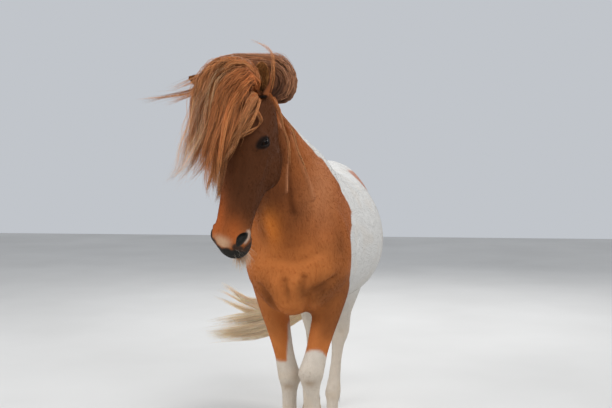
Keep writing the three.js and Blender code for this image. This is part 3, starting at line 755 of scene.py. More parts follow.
@dataclass(frozen=True)
class Almond:
    """An opening in the head: an almond in the plane across an axis, given in the head's frame.

    Attributes:
        centre: its middle, on the left side, in millimetres.
        axis: the way it faces.
        long: the way of its long axis, before it is squared to the axis.
        half: half its length.
        over: its reach to the side of axis x long.
        under: its reach to the other side.
        bend: how far its long axis is bowed towards over, for each squared half length.
        power: the exponent of its outline, a superellipse.
    """

    centre: Three
    axis: Three
    long: Three
    half: float
    over: float
    under: float
    bend: float = 0.0
    power: float = 1.7

    @cached_property
    def axes(self) -> Array:
        """Rows: along, across and out."""
        out = unit(np.array(self.axis))
        long = np.array(self.long)
        along = unit(long - (long @ out) * out)
        return np.stack([along, np.cross(out, along), out])

    def local(self, head: Array, side: int) -> Array:
        """Points of the head's frame along the almond's own axes, on the left side (1) or the right (-1)."""
        return (head * np.array([side, 1, 1]) - np.array(self.centre)) @ self.axes.T

    def back(self, local: Array, side: int) -> Array:
        """Points along the almond's axes, in the head's frame."""
        return (local @ self.axes + np.array(self.centre)) * np.array([side, 1, 1])

    def placed(self, local: Array, side: int) -> Array:
        """Points along the almond's axes, in the horse's frame, in metres."""
        return HEAD.frame.out(self.back(local.reshape(-1, 3), side).reshape(local.shape) * MM)

    def reach(self, local: Array) -> Array:
        """How far out each point lies, with 1 on the almond's edge."""
        along, across = local[:, 0] / self.half, local[:, 1] - self.bend * (local[:, 0] / self.half) ** 2
        across = across / np.where(across > 0, self.over, self.under)
        return (np.abs(along) ** self.power + np.abs(across) ** self.power) ** (1 / self.power)

    def edge(self, angle: Array) -> Array:
        """Points along and across on the almond's edge, at these angles.

        Args:
            angle: the angles.

        Returns:
            One row for each angle.
        """
        c, s = np.cos(angle), np.sin(angle)
        along = np.sign(c) * np.abs(c) ** (2 / self.power)
        across = np.sign(s) * np.abs(s) ** (2 / self.power) * np.where(s > 0, self.over, self.under)
        return np.stack([along * self.half, across + self.bend * along**2], -1)


EYE = Almond((86, 4, 190), (0.93, 0.36, -0.06), (-0.25, 0.68, 0.66), 19, 9.5, 12.5)
EYE_RADIUS = 19.0
NOSTRIL = Almond((60, 10, 511), (0.78, 0.58, 0.16), (-0.42, 0.35, 0.85), 29, 12.5, 12, 7)

# The line between the lips on the left side, in the head's frame, in millimetres.
MOUTH = ((52, -46, 488), (55, -42, 520), (48, -37, 550), (26, -30, 575), (0, -27, 582))


@dataclass(frozen=True)
class Fold:
    """A form that stands out or lies in along a line, such as a muscle's edge, a tendon or a crease.

    Attributes:
        line: the places that it runs through.
        width: the distance from the line at which its height has fallen to 1/e.
        height: how far it stands out, or lies in where it is below 0.
    """

    line: tuple[Three, ...]
    width: float
    height: float

    def share(self, points: Array, scale: float = 1.0) -> Array:
        """1 on the line, and beside it e to the power of minus (distance over scaled width) squared."""
        return np.exp(-(from_line(points, self.line) / (scale * self.width)) ** 2)


# Creases between the forelegs and the breast.
CREASES = (
    Fold(((-0.119, -0.60, 0.850), (-0.092, -0.615, 0.800), (-0.066, -0.575, 0.750), (-0.032, -0.52, 0.712)),
         0.016, -0.018),
    Fold(((0.174, -0.57, 0.872), (0.122, -0.605, 0.846), (0.080, -0.635, 0.824), (0.066, -0.615, 0.785),
          (0.060, -0.55, 0.740)), 0.017, -0.019),
    Fold(((0.058, -0.645, 0.885), (0.042, -0.64, 0.840), (0.050, -0.62, 0.800)), 0.014, -0.012),
    Fold(((-0.020, -0.645, 0.870), (-0.010, -0.63, 0.83), (-0.004, -0.60, 0.785)), 0.014, -0.013),
)

# Folds of loose skin between those creases, and the hollow above them.
BREAST = (
    Fold(((-0.050, -0.640, 0.86), (-0.048, -0.61, 0.80), (-0.055, -0.53, 0.745)), 0.024, 0.009),
    Fold(((0.030, -0.650, 0.87), (0.028, -0.62, 0.82), (0.010, -0.56, 0.765)), 0.022, 0.009),
    Fold(((-0.14, -0.60, 0.98), (-0.06, -0.645, 0.955), (0.04, -0.655, 0.945), (0.12, -0.62, 0.98)),
         0.020, -0.006),
)

# The groove down the left of the neck and the folds on both sides of it.
GROOVES = (
    Fold(((0.025, -0.891, 1.483), (0.039, -0.863, 1.427), (0.038, -0.839, 1.355), (0.030, -0.815, 1.293),
          (0.024, -0.760, 1.195), (0.030, -0.725, 1.141)), 0.012, -0.011),
)
RIDGES = (
    Fold(((0.029, -0.956, 1.492), (0.021, -0.926, 1.453), (0.034, -0.875, 1.405), (0.034, -0.847, 1.355),
          (0.028, -0.825, 1.304), (0.018, -0.787, 1.230)), 0.011, 0.008),
    Fold(((0.043, -0.844, 1.431), (0.055, -0.806, 1.381), (0.067, -0.766, 1.330), (0.087, -0.709, 1.258),
          (0.099, -0.676, 1.204)), 0.012, 0.008),
)

# Forms of the left side that the right side has too: the shoulder blade, the line behind the shoulder, the
# middle of the breast, the groove of the neck, the flank, the parting of the buttocks, and the haunch.
MUSCLES = (
    Fold(((0.13, -0.56, 1.20), (0.20, -0.46, 1.0), (0.19, -0.5, 0.86)), 0.030, 0.004),
    Fold(((0.14, -0.30, 1.30), (0.22, -0.30, 1.02), (0.19, -0.26, 0.82)), 0.026, -0.005),
    Fold(((0.0, -0.66, 1.0), (0.0, -0.66, 0.90)), 0.016, -0.005),
    Fold(((0.06, -0.90, 1.30), (0.10, -0.72, 1.12), (0.12, -0.64, 1.0)), 0.028, -0.007),
    Fold(((0.24, 0.20, 1.00), (0.20, 0.16, 0.86), (0.14, 0.15, 0.76)), 0.034, -0.010),
    Fold(((0.0, 0.70, 1.10), (0.0, 0.76, 0.9), (0.0, 0.70, 0.72)), 0.022, -0.014),
    Fold(((0.10, 0.45, 1.31), (0.19, 0.40, 1.20), (0.2, 0.42, 1.1)), 0.030, 0.004),
)

# Forms of the head's left side, in its frame and in millimetres: the cheek bone and the brow, the hollows
# beside the nose, on the cheek, behind the jaw and under the cheek bone, the dip of the forehead, the
# parting of the upper lip, the crease of the chin, and the edge above the nostril.
FACE = (
    Fold(((86, -22, 200), (78, -32, 245), (64, -34, 310)), 9, 3.4),
    Fold(((84, 30, 150), (94, 12, 160), (98, -16, 178)), 10, 3.2),
    Fold(((40, 44, 250), (34, 34, 350), (32, 26, 450)), 11, -2.6),
    Fold(((70, -60, 330), (60, -70, 250), (70, -60, 180)), 16, -2.2),
    Fold(((62, -170, 280), (74, -150, 215), (70, -95, 140)), 13, -3.0),
    Fold(((56, -12, 300), (50, -20, 380), (46, -16, 440)), 10, -2.4),
    Fold(((0, 60, 210), (0, 55, 260), (0, 44, 330)), 15, -1.0),
    Fold(((0, 22, 520), (0, 10, 555), (0, -8, 576)), 4, -1.8),
    Fold(((40, -82, 492), (20, -92, 500), (0, -94, 502)), 9, -4.0),
    Fold(((26, 20, 490), (34, 18, 520), (30, 8, 548)), 8, 2.0),
)


@dataclass
class Skin:
    """The skin over all flesh, from fused lofts, finer on the head and finest round the eyes and muzzle.

    Attributes:
        coarse: the voxel of the first fusing, which rounds the joins of neck, legs and barrel.
        fine: the voxel of the whole skin.
        deep: how far the skin lies under the coat's tips on the body.
        shallow: the same on the head and legs.
        breast: middle and half axes of the breast's swelling.
        dock: middle and half axes of the tail's root, and the way that its second axis runs.
        tendon: how deep the groove before the back tendon of each leg is.
        temple: middle and radii of the hollow above each eye, in the head's frame, in millimetres.
        wings: strength, middle and radii of the swellings beside the left and the right nostril.
        cheek: middle and radii of the swelling above the right nostril.
        nostril_depth: how far the nostrils are sunk, in millimetres.
        nostril_rims: how far the edges of the left and the right nostril are raised.
        lid: how far the lids lie over the ball.
        crease: how far the lids swell, and how deep the crease round them is.
    """

    coarse: float = 0.014
    fine: float = 0.0098
    deep: float = 0.007
    shallow: float = 0.003
    breast: Rows = ((-0.012, -0.535, 0.780), (0.072, 0.095, 0.062))
    dock: Rows = ((-0.004, 0.766, 1.12), (0.024, 0.10, 0.03), (-0.1, 0.35, -1))
    tendon: float = 0.0045
    temple: Rows = ((70, 26, 142), (16, 15, 16))
    wings: tuple[tuple, ...] = ((10.0, (58, -20, 512), (22, 34, 32)), (12.0, (-58, -8, 500), (22, 36, 40)))
    cheek: Rows = ((-46, 8, 436), (24, 36, 60))
    nostril_depth: float = 17.0
    nostril_rims: tuple[float, float] = (4.0, 2.0)
    lid: float = 3.2
    crease: float = 1.8

    def body(self) -> Surface:
        """Barrel, neck, muscles and the tops of the legs with rounded joins."""
        torso = FLESH.torso().surface(64, 6, -self.deep)
        neck = FLESH.neck().surface(56, 8, -self.deep)
        middle, radii = self.breast
        breast = ellipsoid(np.array(middle), radii, np.eye(3))
        tops = [limb.loft(11).surface(32, 6, -self.deep) for limb in LIMBS.values()]
        body = fused([torso, neck, breast, *FLESH.muscles(-self.deep), *tops], self.coarse)
        return body.relaxed(9)

    def whole(self) -> Surface:
        """The body with the legs, the head and the root of the tail."""
        legs = [limb.loft().surface(36, 8, -self.shallow) for limb in LIMBS.values()]
        head = [FLESH.head().surface(64, 8, -self.shallow), *FLESH.head_forms(-self.shallow)]
        middle, radii, way = self.dock
        dock = ellipsoid(np.array(middle), radii, axes_along(way))
        surface = fused([self.body(), *legs, *head, dock], self.fine)
        h = in_head(surface.points)
        jaw = blob(h, (0, -90, 60), (200, 120, 90))
        knees = surface.points[:, 2] < 0.7
        softened = np.where(knees, 0.06, 0.1 + 0.9 * jaw)
        return surface.relaxed(3).relaxed(8, 0.5 * softened * ease(460, 300, h[:, 2]))

    def carved(self, surface: Surface) -> Surface:
        """The surface with the forms of muscle, bone and tendon raised or sunk along its normals.

        Args:
            surface: the skin.

        Returns:
            The carved skin.
        """
        p = surface.points
        mirrored = folded(p)
        lift = np.zeros(len(p))
        for fold in (*CREASES, *BREAST, *GROOVES, *RIDGES):
            lift += fold.height * fold.share(p)
        for fold in MUSCLES:
            lift += fold.height * fold.share(mirrored)
        for limb in LIMBS.values():
            fetlock, knee = limb.points[1], limb.points[2]
            shin = (p[:, 2] - fetlock[2]) / (knee[2] - fetlock[2])
            here = ease(0.12, 0.3, shin) * ease(0.92, 0.75, shin) * ease(0.11, 0.08, limb.near(p))
            share = np.clip(shin, 0, 1)[:, None]
            middle = fetlock + share * (knee - fetlock)
            back = p[:, 1] - middle[:, 1] - 0.010
            lift -= self.tendon * here * np.exp(-(back / 0.008) ** 2)
        points = p + surface.normals() * lift[:, None]
        return Surface(points, surface.faces)

    def face(self, surface: Surface) -> Surface:
        """The surface with the forms of the head: ridges, hollows, lids, nostrils, lips and chin.

        Args:
            surface: the carved skin.

        Returns:
            The skin with its face.
        """
        h = in_head(surface.points)
        normals = surface.normals() @ HEAD.frame.axes.T
        one = folded(h)
        head = of_head(h)
        lift = np.zeros(len(h))
        for fold in FACE:
            lift += fold.height * fold.share(one)
        lift -= 4.0 * blob(one, *self.temple)
        lift += spotted(h, self.wings)
        lift += 7.0 * blob(h, *self.cheek)
        lips = from_line(one, MOUTH)
        lift -= 5.0 * np.exp(-(lips / 3.2) ** 2)
        lift += 2.4 * np.exp(-((lips - 8) / 4.5) ** 2) * ease(480, 505, one[:, 2])
        lift += 0.8 * np.sin(one[:, 1] * 0.9 + one[:, 2] * 0.55) * blob(one, (56, -40, 485), (20, 18, 18))
        moved = h + normals * (lift * head)[:, None]
        for side, rim in zip((1, -1), self.nostril_rims):
            here = (h[:, 0] < 0) == (side < 0)
            moved = self.nostril(moved, here * head, side, rim)
            moved = self.socket(moved, here * head, side)
        return Surface(HEAD.frame.out(bent(moved) * MM), surface.faces)

    def nostril(self, points: Array, share: Array, side: int, rim: float) -> Array:
        """Points of the head's frame with one nostril sunk inside its almond and raised along its edge.

        Args:
            points: where they are.
            share: how much each one may move.
            side: the left nostril (1) or the right (-1).
            rim: how far its edge is raised.

        Returns:
            The moved points.
        """
        q = NOSTRIL.local(points, side)
        reach = NOSTRIL.reach(q)
        near = share * ease(36, 26, np.linalg.norm(q, axis=1))
        q[:, 2] -= self.nostril_depth * near * ease(1.12, 0.55, reach)
        q[:, 2] += rim * near * np.exp(-((reach - 1.35) / 0.33) ** 2)
        return np.where((near > 0)[:, None], NOSTRIL.back(q, side), points)

    def socket(self, points: Array, share: Array, side: int) -> Array:
        """Points of the head's frame with one eye's lids: over the ball outside the almond, behind it inside.

        Args:
            points: where they are.
            share: how much each one may move.
            side: the left eye (1) or the right (-1).

        Returns:
            The moved points.
        """
        q = EYE.local(points, side)
        reach = EYE.reach(q)
        flat = np.hypot(q[:, 0], q[:, 1])
        near = share * ease(50, 42, flat) * (q[:, 2] > -12)
        ball = np.sqrt(np.maximum(EYE_RADIUS**2 - flat**2, 0))
        lid = np.sqrt(np.maximum((EYE_RADIUS + self.lid) ** 2 - flat**2, 0))
        swell = self.crease * ease(1.0, 1.25, reach) * ease(1.9, 1.4, reach)
        lid += swell - self.crease * np.exp(-((reach - 1.55) / 0.1) ** 2)
        outside = ease(2.4, 1.5, reach)
        over = outside * np.maximum(lid, q[:, 2]) + (1 - outside) * q[:, 2]
        inner = np.minimum(q[:, 2], ball - 5)
        target = inner + ease(0.92, 1.02, reach) * (over - inner)
        q[:, 2] += (near > 0) * (target - q[:, 2])
        return np.where((near > 0)[:, None], EYE.back(q, side), points)

    def build(self) -> Surface:
        """The finished skin, refined over the head and again round the eyes, nostrils and lips."""
        surface = self.whole()
        LOG.info("skin fused: %d points", len(surface.points))
        x, y, z = surface.points.T
        front = (np.abs(x) < 0.16) & (y < -0.50) & (z > 0.74) & (z < 0.92)
        front |= (x > -0.02) & (x < 0.12) & (y < -0.66) & (z > 1.12) & (z < 1.50)
        surface = refined(surface, (of_head(in_head(surface.points)) > 0.5) | front)
        surface = surface.relaxed(3, 0.5 * of_head(in_head(surface.points)))
        surface = self.carved(surface)
        h = folded(in_head(surface.points))
        eyes = np.linalg.norm(h - EYE.centre, axis=1) < 40
        close = eyes | (np.linalg.norm(h - NOSTRIL.centre, axis=1) < 38) | (from_line(h, MOUTH) < 11)
        surface = refined(surface, close)
        h = folded(in_head(surface.points))
        soft = blob(h, EYE.centre, (34, 34, 34)) + blob(h, NOSTRIL.centre, (30, 30, 30))
        return self.face(surface.relaxed(2, 0.5 * np.minimum(soft, 1)))


@dataclass(frozen=True)
class Regions:
    """The unwrap of the skin's own shape: each region rolled round its line and laid in its rectangle.

    Attributes:
        rectangles: left, bottom, width and height of trunk, neck, head and the four legs.
    """

    rectangles: Rows = (
        (0.03, 0.53, 0.44, 0.44), (0.53, 0.53, 0.16, 0.44), (0.75, 0.53, 0.22, 0.44),
        (0.03, 0.03, 0.19, 0.44), (0.28, 0.03, 0.19, 0.44), (0.53, 0.03, 0.19, 0.44),
        (0.78, 0.03, 0.19, 0.44),
    )

    def of(self, points: Array) -> Index:
        """Which region each point is in.

        Args:
            points: points on the skin.

        Returns:
            The number of its rectangle, for each point.
        """
        region = np.where(points[:, 1] < -0.60, 1, 0)
        region = np.where(of_head(in_head(points)) > 0.5, 2, region)
        far = near_legs(points)
        leg = (points[:, 2] < 0.74) & (far.min(axis=0) < 0.16)
        return np.where(leg, 3 + far.argmin(axis=0), region)

    def rolled(self, points: Array, region: Index) -> Array:
        """Each point's turn about its region's line, from -0.5 to 0.5, and its place along it, 0 to 1.

        Args:
            points: points on the skin.
            region: the region of each.

        Returns:
            Turn and place, one row for each point.
        """
        x, y, z = points.T
        h = in_head(points)
        neck_x = np.interp(-y, [0.3, 0.7, 1.1], [0, -0.03, -0.06])
        neck_z = np.interp(-y, [0.3, 0.7, 1.1], [1.12, 1.30, 1.48])
        turn = np.where(region == 0, np.arctan2(x, z - 1.02), 0.0)
        along = np.where(region == 0, (y + 0.75) / 1.7, 0.0)
        turn = np.where(region == 1, np.arctan2(x - neck_x, z - neck_z), turn)
        along = np.where(region == 1, (-y - 0.55) / 0.65, along)
        turn = np.where(region == 2, np.arctan2(h[:, 0], h[:, 1] + 45), turn)
        along = np.where(region == 2, (h[:, 2] + 60) / 680, along)
        for k, limb in enumerate(LIMBS.values()):
            cx, cy = limb.line_at(z)
            turn = np.where(region == 3 + k, np.arctan2(x - cx, y - cy), turn)
            along = np.where(region == 3 + k, z / 0.8, along)
        return np.stack([turn / (2 * np.pi), np.clip(along, 0, 1)], -1)

    def laid(self, rolled: Array, region: Index) -> Array:
        """A turn and a place along in each region's rectangle."""
        left, bottom, wide, high = np.array(self.rectangles)[region].T
        return np.stack([left + wide * (rolled[..., 0] + 0.5), bottom + high * rolled[..., 1]], -1)

    def of_roots(self, roots: Array) -> Array:
        """The place of each root on the unwrap."""
        region = self.of(roots)
        return self.laid(self.rolled(roots, region), region)

    def of_faces(self, surface: Surface) -> Array:
        """The place of each corner of each face, with a face's corners kept together across the seam.

        Args:
            surface: what is unwrapped.

        Returns:
            One row for each corner.
        """
        corners = []
        for face in surface.faces:
            middle = surface.points[face].mean(axis=1)
            region = self.of(middle)
            centre = self.rolled(middle, region)
            for_each = np.repeat(region, face.shape[1])
            own = self.rolled(surface.points[face.ravel()], for_each)
            about = np.repeat(centre, face.shape[1], axis=0)
            own[:, 0] = about[:, 0] + (own[:, 0] - about[:, 0] + 0.5) % 1 - 0.5
            corners.append(self.laid(own, for_each))
        return np.concatenate(corners)


REGIONS = Regions()


@dataclass(frozen=True)
class Markings:
    """The horse's colours: chestnut in front of a border on each side, white behind it and on the legs.

    Colours are given as they show on screen.

    Attributes:
        border: height and the border's place from front to back on the left side.
        socks: the foreleg, the height of its sock's upper edge, how far that edge arches down, and the place
            from front (-1) to back (1) at which it is highest.
        strip: the edge of the white strip up the right foreleg: its place inwards at a height, its slope, and
            that height.
        patch: centre and radii of the chestnut patch on the croup.
        throat: strength, centre and radii of each brown spot of painted shade on the neck and breast.
        lit_spot: centre and radii of the spot of painted highlight in copper.
        bleach_and_highlight: centre and radii of the spot of painted highlight on the neck.
        hollows: strength, centre and radii of each hollow of the breast given painted shade.
        chestnut: the colour of most of the body's coat.
        ginger: lower down.
        brown: on the neck.
        lit_copper: painted highlight, the lit spot on the breast's side.
        shade: painted shade for the breast's hollows and creases, the neck's groove and the forearms.
        painted_highlight: painted highlight, on that spot and along the ridges of the neck.
        face: the face, darker: partly its own coat and partly painted shade.
        nose: painted light, where the front of the face above the nostrils is lit.
        pale: the white coat.
        lower_white: the duller, creamier white lower down.
        croup: the patch on the croup.
        stain: above the knees.
        lips: the dark skin of lips and nostrils.
        snip: the pale skin between the nostrils.
        rim: the pale skin beside them.
        socket: the dark skin round the eyes.
    """

    border: tuple[tuple[float, float], ...] = (
        (0.60, -0.20), (0.77, -0.24), (0.85, -0.33), (0.93, -0.42), (1.00, -0.45), (1.07, -0.37),
        (1.13, -0.29), (1.20, -0.31), (1.287, -0.49), (1.354, -0.57), (1.43, -0.70), (1.52, -0.80),
        (1.60, -0.92),
    )
    socks: tuple[tuple, ...] = (("fore_left", 0.578, 0.042, -1), ("fore_right", 0.515, 0.012, 0))
    strip: Three = (0.30, 5.4, 0.52)
    patch: Rows = ((0.18, 0.42, 1.25), (0.13, 0.17, 0.075))
    # Spots of painted shade: under the throat, beside the jaw, behind it and on the left shoulder.
    throat: tuple[tuple, ...] = (
        (1.0, (-0.05, -0.88, 1.28), (0.08, 0.16, 0.22)), (0.55, (0.04, -0.74, 1.15), (0.055, 0.14, 0.15)),
        (1.2, (-0.090, -0.75, 1.17), (0.050, 0.12, 0.06)), (0.6, (-0.098, -0.66, 1.066), (0.030, 0.09, 0.05)),
        (0.75, (0.19, -0.56, 0.96), (0.060, 0.14, 0.13)),
    )
    # A spot of painted highlight in copper, where the neck is lit.
    lit_spot: Rows = ((-0.059, -0.705, 1.095), (0.036, 0.10, 0.085))
    # A spot of painted highlight where the upper left of the neck is lit.
    bleach_and_highlight: Rows = ((0.13, -0.63, 1.24), (0.060, 0.14, 0.16))
    # Hollows of the breast that are given painted shade.
    hollows: tuple[tuple, ...] = (
        (1.0, (0.085, -0.61, 0.830), (0.060, 0.09, 0.045)),
        (0.8, (-0.095, -0.60, 0.800), (0.034, 0.09, 0.060)),
        (1.1, (0.040, -0.52, 0.715), (0.060, 0.10, 0.035)),
    )
    chestnut: Three = (170, 96, 46)
    ginger: Three = (196, 120, 62)
    brown: Three = (94, 52, 27)
    lit_copper: Three = (216, 124, 46)
    shade: Three = (72, 38, 18)
    painted_highlight: Three = (196, 134, 94)
    face: Three = (68, 37, 18)
    nose: Three = (166, 84, 33)
    pale: Three = (205, 203, 199)
    lower_white: Three = (196, 174, 146)
    croup: Three = (178, 116, 88)
    stain: Three = (150, 116, 76)
    lips: Three = (40, 38, 34)
    snip: Three = (190, 154, 122)
    rim: Three = (172, 150, 132)
    socket: Three = (24, 15, 10)

    @staticmethod
    def mixed(base: Array, other: Sequence[float], share: Array) -> Array:
        """Colours in linear light, taken over by another, shown one by a share."""
        return base + np.clip(share, 0, 1)[:, None] * (tone(*other) - base)

    def white(self, points: Array) -> Array:
        """How white the coat is at each point, from 0 to 1.

        Args:
            points: points on the skin.

        Returns:
            One share for each point.
        """
        x, y, z = points.T
        height, place = np.array(self.border).T
        ragged = 0.022 * noise(points, 0.06, 3) + 0.010 * noise(points, 0.02, 4)
        left = np.interp(z, height, place)
        right = np.interp(z + 0.04 * np.sin(9 * z), height, place) + 0.09 * np.sin(6 * (z - 0.7))
        edge = left + ease(0.08, -0.08, x) * (right - left) + ragged
        white = ease(-0.010, 0.010, y - edge) * (1 - of_head(in_face(points)))
        for name, sock, arch, highest in self.socks:
            limb = LIMBS[name]
            near = ease(0.16, 0.13, limb.near(points))
            middle_x, middle_y = limb.line_at(z)
            front = (y - middle_y) / 0.05
            top = sock - arch * np.abs(np.clip(front, -1, 1) - highest) + 0.3 * ragged
            white = np.maximum(white, near * ease(0.007, -0.007, z - top) * (z < 0.72))
            if name == "fore_right":
                start, slope, level = self.strip
                inward = (x - middle_x) / 0.05 - (start + slope * (z - level))
                white = np.maximum(white, near * ease(-0.08, 0.08, inward + 0.08 * noise(points, 0.03, 5)))
        patch = blob(points, *self.patch) + 0.16 * noise(points, 0.07, 6)
        return white * (1 - 0.85 * ease(0.36, 0.62, patch + 0.06 * noise(points, 0.02, 11)) * (x > 0))

    def body(self, points: Array, head: Array) -> Array:
        """The chestnut coat's colour on the body, by how much each point belongs to the head.

        Args:
            points: points on the skin.
            head: how much each belongs to the head.

        Returns:
            One colour for each point, in linear light.
        """
        x, y, z = points.T
        colour = np.broadcast_to(tone(*self.chestnut), points.shape).copy()
        low = ease(1.15, 0.85, z) * (1 - head)
        colour = self.mixed(colour, self.ginger, 0.5 * low + 0.22 * noise(points, 0.12, 7))
        # The brown share: the neck's own browner tone, and painted shade in the throat's spots.
        brown = 0.22 + 0.7 * spotted(points, self.throat) - 0.3 * low + 0.12 * noise(points, 0.05, 8)
        colour = self.mixed(colour, self.brown, brown)
        # Painted highlight in copper.
        colour = self.mixed(colour, self.lit_copper, 0.7 * blob(points, *self.lit_spot))
        # Painted highlight on the neck.
        colour = self.mixed(colour, self.painted_highlight, 0.45 * blob(points, *self.bleach_and_highlight))
        # Painted shade in the hollows of the breast.
        colour = self.mixed(colour, self.shade, 0.5 * spotted(points, self.hollows))
        # Painted shade on the forearms, stronger on the left.
        shaded_forearms = ease(0.94, 0.84, z) * ease(0.58, 0.66, z) * ease(0.06, 0.12, np.abs(x - 0.01)) * (y < -0.25)
        colour = self.mixed(colour, self.shade, shaded_forearms * np.where(x > 0, 0.55, 0.25))
        # Painted shade along the creases of the breast and the groove of the neck, and painted highlight
        # along the ridges beside it.
        for folds, other, strength, scale in (
            (CREASES, self.shade, 0.30, 1.2), (GROOVES, self.shade, 0.7, 1.0),
            (RIDGES, self.painted_highlight, 0.75, 0.7),
        ):
            for fold in folds:
                colour = self.mixed(colour, other, strength * fold.share(points, scale))
        return colour

    def coat(self, points: Array) -> Array:
        """The colour of the coat at each point.

        Args:
            points: points on the skin.

        Returns:
            One colour for each point, in linear light.
        """
        h = in_face(points)
        one = folded(h)
        head = of_head(h)
        x, y, z = points.T
        colour = self.body(points, head)
        # The face is darker, partly its own coat and partly painted shade.
        face = ease(-60, 10, one[:, 2]) * head
        colour = self.mixed(colour, self.face, 0.92 * face * ease(580, 400, one[:, 2]))
        # Painted light where the front of the face is lit, above the nostrils.
        colour = self.mixed(colour, self.nose, 0.85 * head * blob(h, (-34, 22, 462), (34, 50, 100)))
        colour = self.mixed(colour, self.nose, 0.6 * head * blob(h, (30, 24, 492), (30, 40, 50)))
        snip = blob(h, (-6, 20, 532), (38, 40, 26)) * ease(557, 545, h[:, 2] + 3 * noise(points, 0.01, 12))
        colour = self.mixed(colour, self.snip, 0.85 * head * ease(0.1, 0.95, snip))
        lips = from_line(one, MOUTH)
        dark = ease(26, 12, lips) * ease(478, 505, one[:, 2])
        band = one[:, 2] + 4 * noise(points, 0.012, 13)
        dark = np.maximum(dark, ease(545, 556, band) * ease(-75, -60, one[:, 1]))
        under = ease(-66, -46, one[:, 1]) * ease(520, 545, one[:, 2]) * ease(30, 6, lips)
        dark = np.maximum(dark, under * 0.9)
        between = blob(one, (54, -28, 534), (28, 30, 36)) * (one[:, 2] > 500)
        between = np.maximum(between, blob(one, (47, 5, 545), (20, 28, 20)))
        dark = np.maximum(dark, 0.9 * ease(0.3, 0.65, between))
        for side, strength in ((-1, 0.25), (1, 1.0)):
            q = NOSTRIL.local(h, side)
            reach = NOSTRIL.reach(q)
            close = head * (q[:, 2] > -45) * (np.linalg.norm(q, axis=1) < 66)
            outer = ease(-3, 8, q[:, 1]) * ease(14, -2, q[:, 0]) * strength
            colour = self.mixed(colour, self.rim, 0.8 * close * ease(2.1, 1.5, reach) * outer)
            dark = np.maximum(dark, close * ease(1.25, 1.05, reach))
            q = EYE.local(h, side)
            close = head * (q[:, 2] > -4) * (np.linalg.norm(q, axis=1) < 60)
            colour = self.mixed(colour, self.socket, 0.95 * close * ease(2.15, 1.4, EYE.reach(q)))
        colour = self.mixed(colour, self.lips, dark * head)
        white = self.white(points)
        pale = tone(*self.pale) * (1 + 0.03 * noise(points, 0.08, 9))[:, None]
        # The white turns duller and creamier towards the bottom.
        lower_share = 0.55 * ease(0.85, 0.45, z) + 0.12 * ease(0.1, 0.6, noise(points, 0.05, 10))
        pale = pale + lower_share[:, None] * (tone(*self.lower_white) - pale)
        for name, *_ in self.socks:
            knee = LIMBS[name].points[2] + np.array([0.0, -0.05, -0.035])
            pale = self.mixed(pale, self.stain, 0.55 * blob(points, knee, (0.026, 0.04, 0.014)))
        on_croup = (x > 0.02) & (y > 0.2) & (z > 1.0)
        colour = np.where(on_croup[:, None], tone(*self.croup), colour)
        return colour + white[:, None] * (pale - colour)


MARKINGS = Markings()


class Socket:
    """A shader socket that takes arithmetic: each operation adds the Math node that works it out."""

    def __init__(self, shader: "Shader", link: bpy.types.NodeSocket) -> None:
        """Holds one output of one node."""
        self.shader = shader
        self.link = link

    def _maths(self, operation: str, one: "Value", two: "Value") -> "Socket":
        """A Math node on two values."""
        return self.shader.node("ShaderNodeMath", {"operation": operation}, {0: one, 1: two})

    def __add__(self, other: "Value") -> "Socket":
        """The sum."""
        return self._maths("ADD", self, other)

    def __mul__(self, other: "Value") -> "Socket":
        """The product."""
        return self._maths("MULTIPLY", self, other)

    __radd__ = __add__
    __rmul__ = __mul__


Value = Socket | float


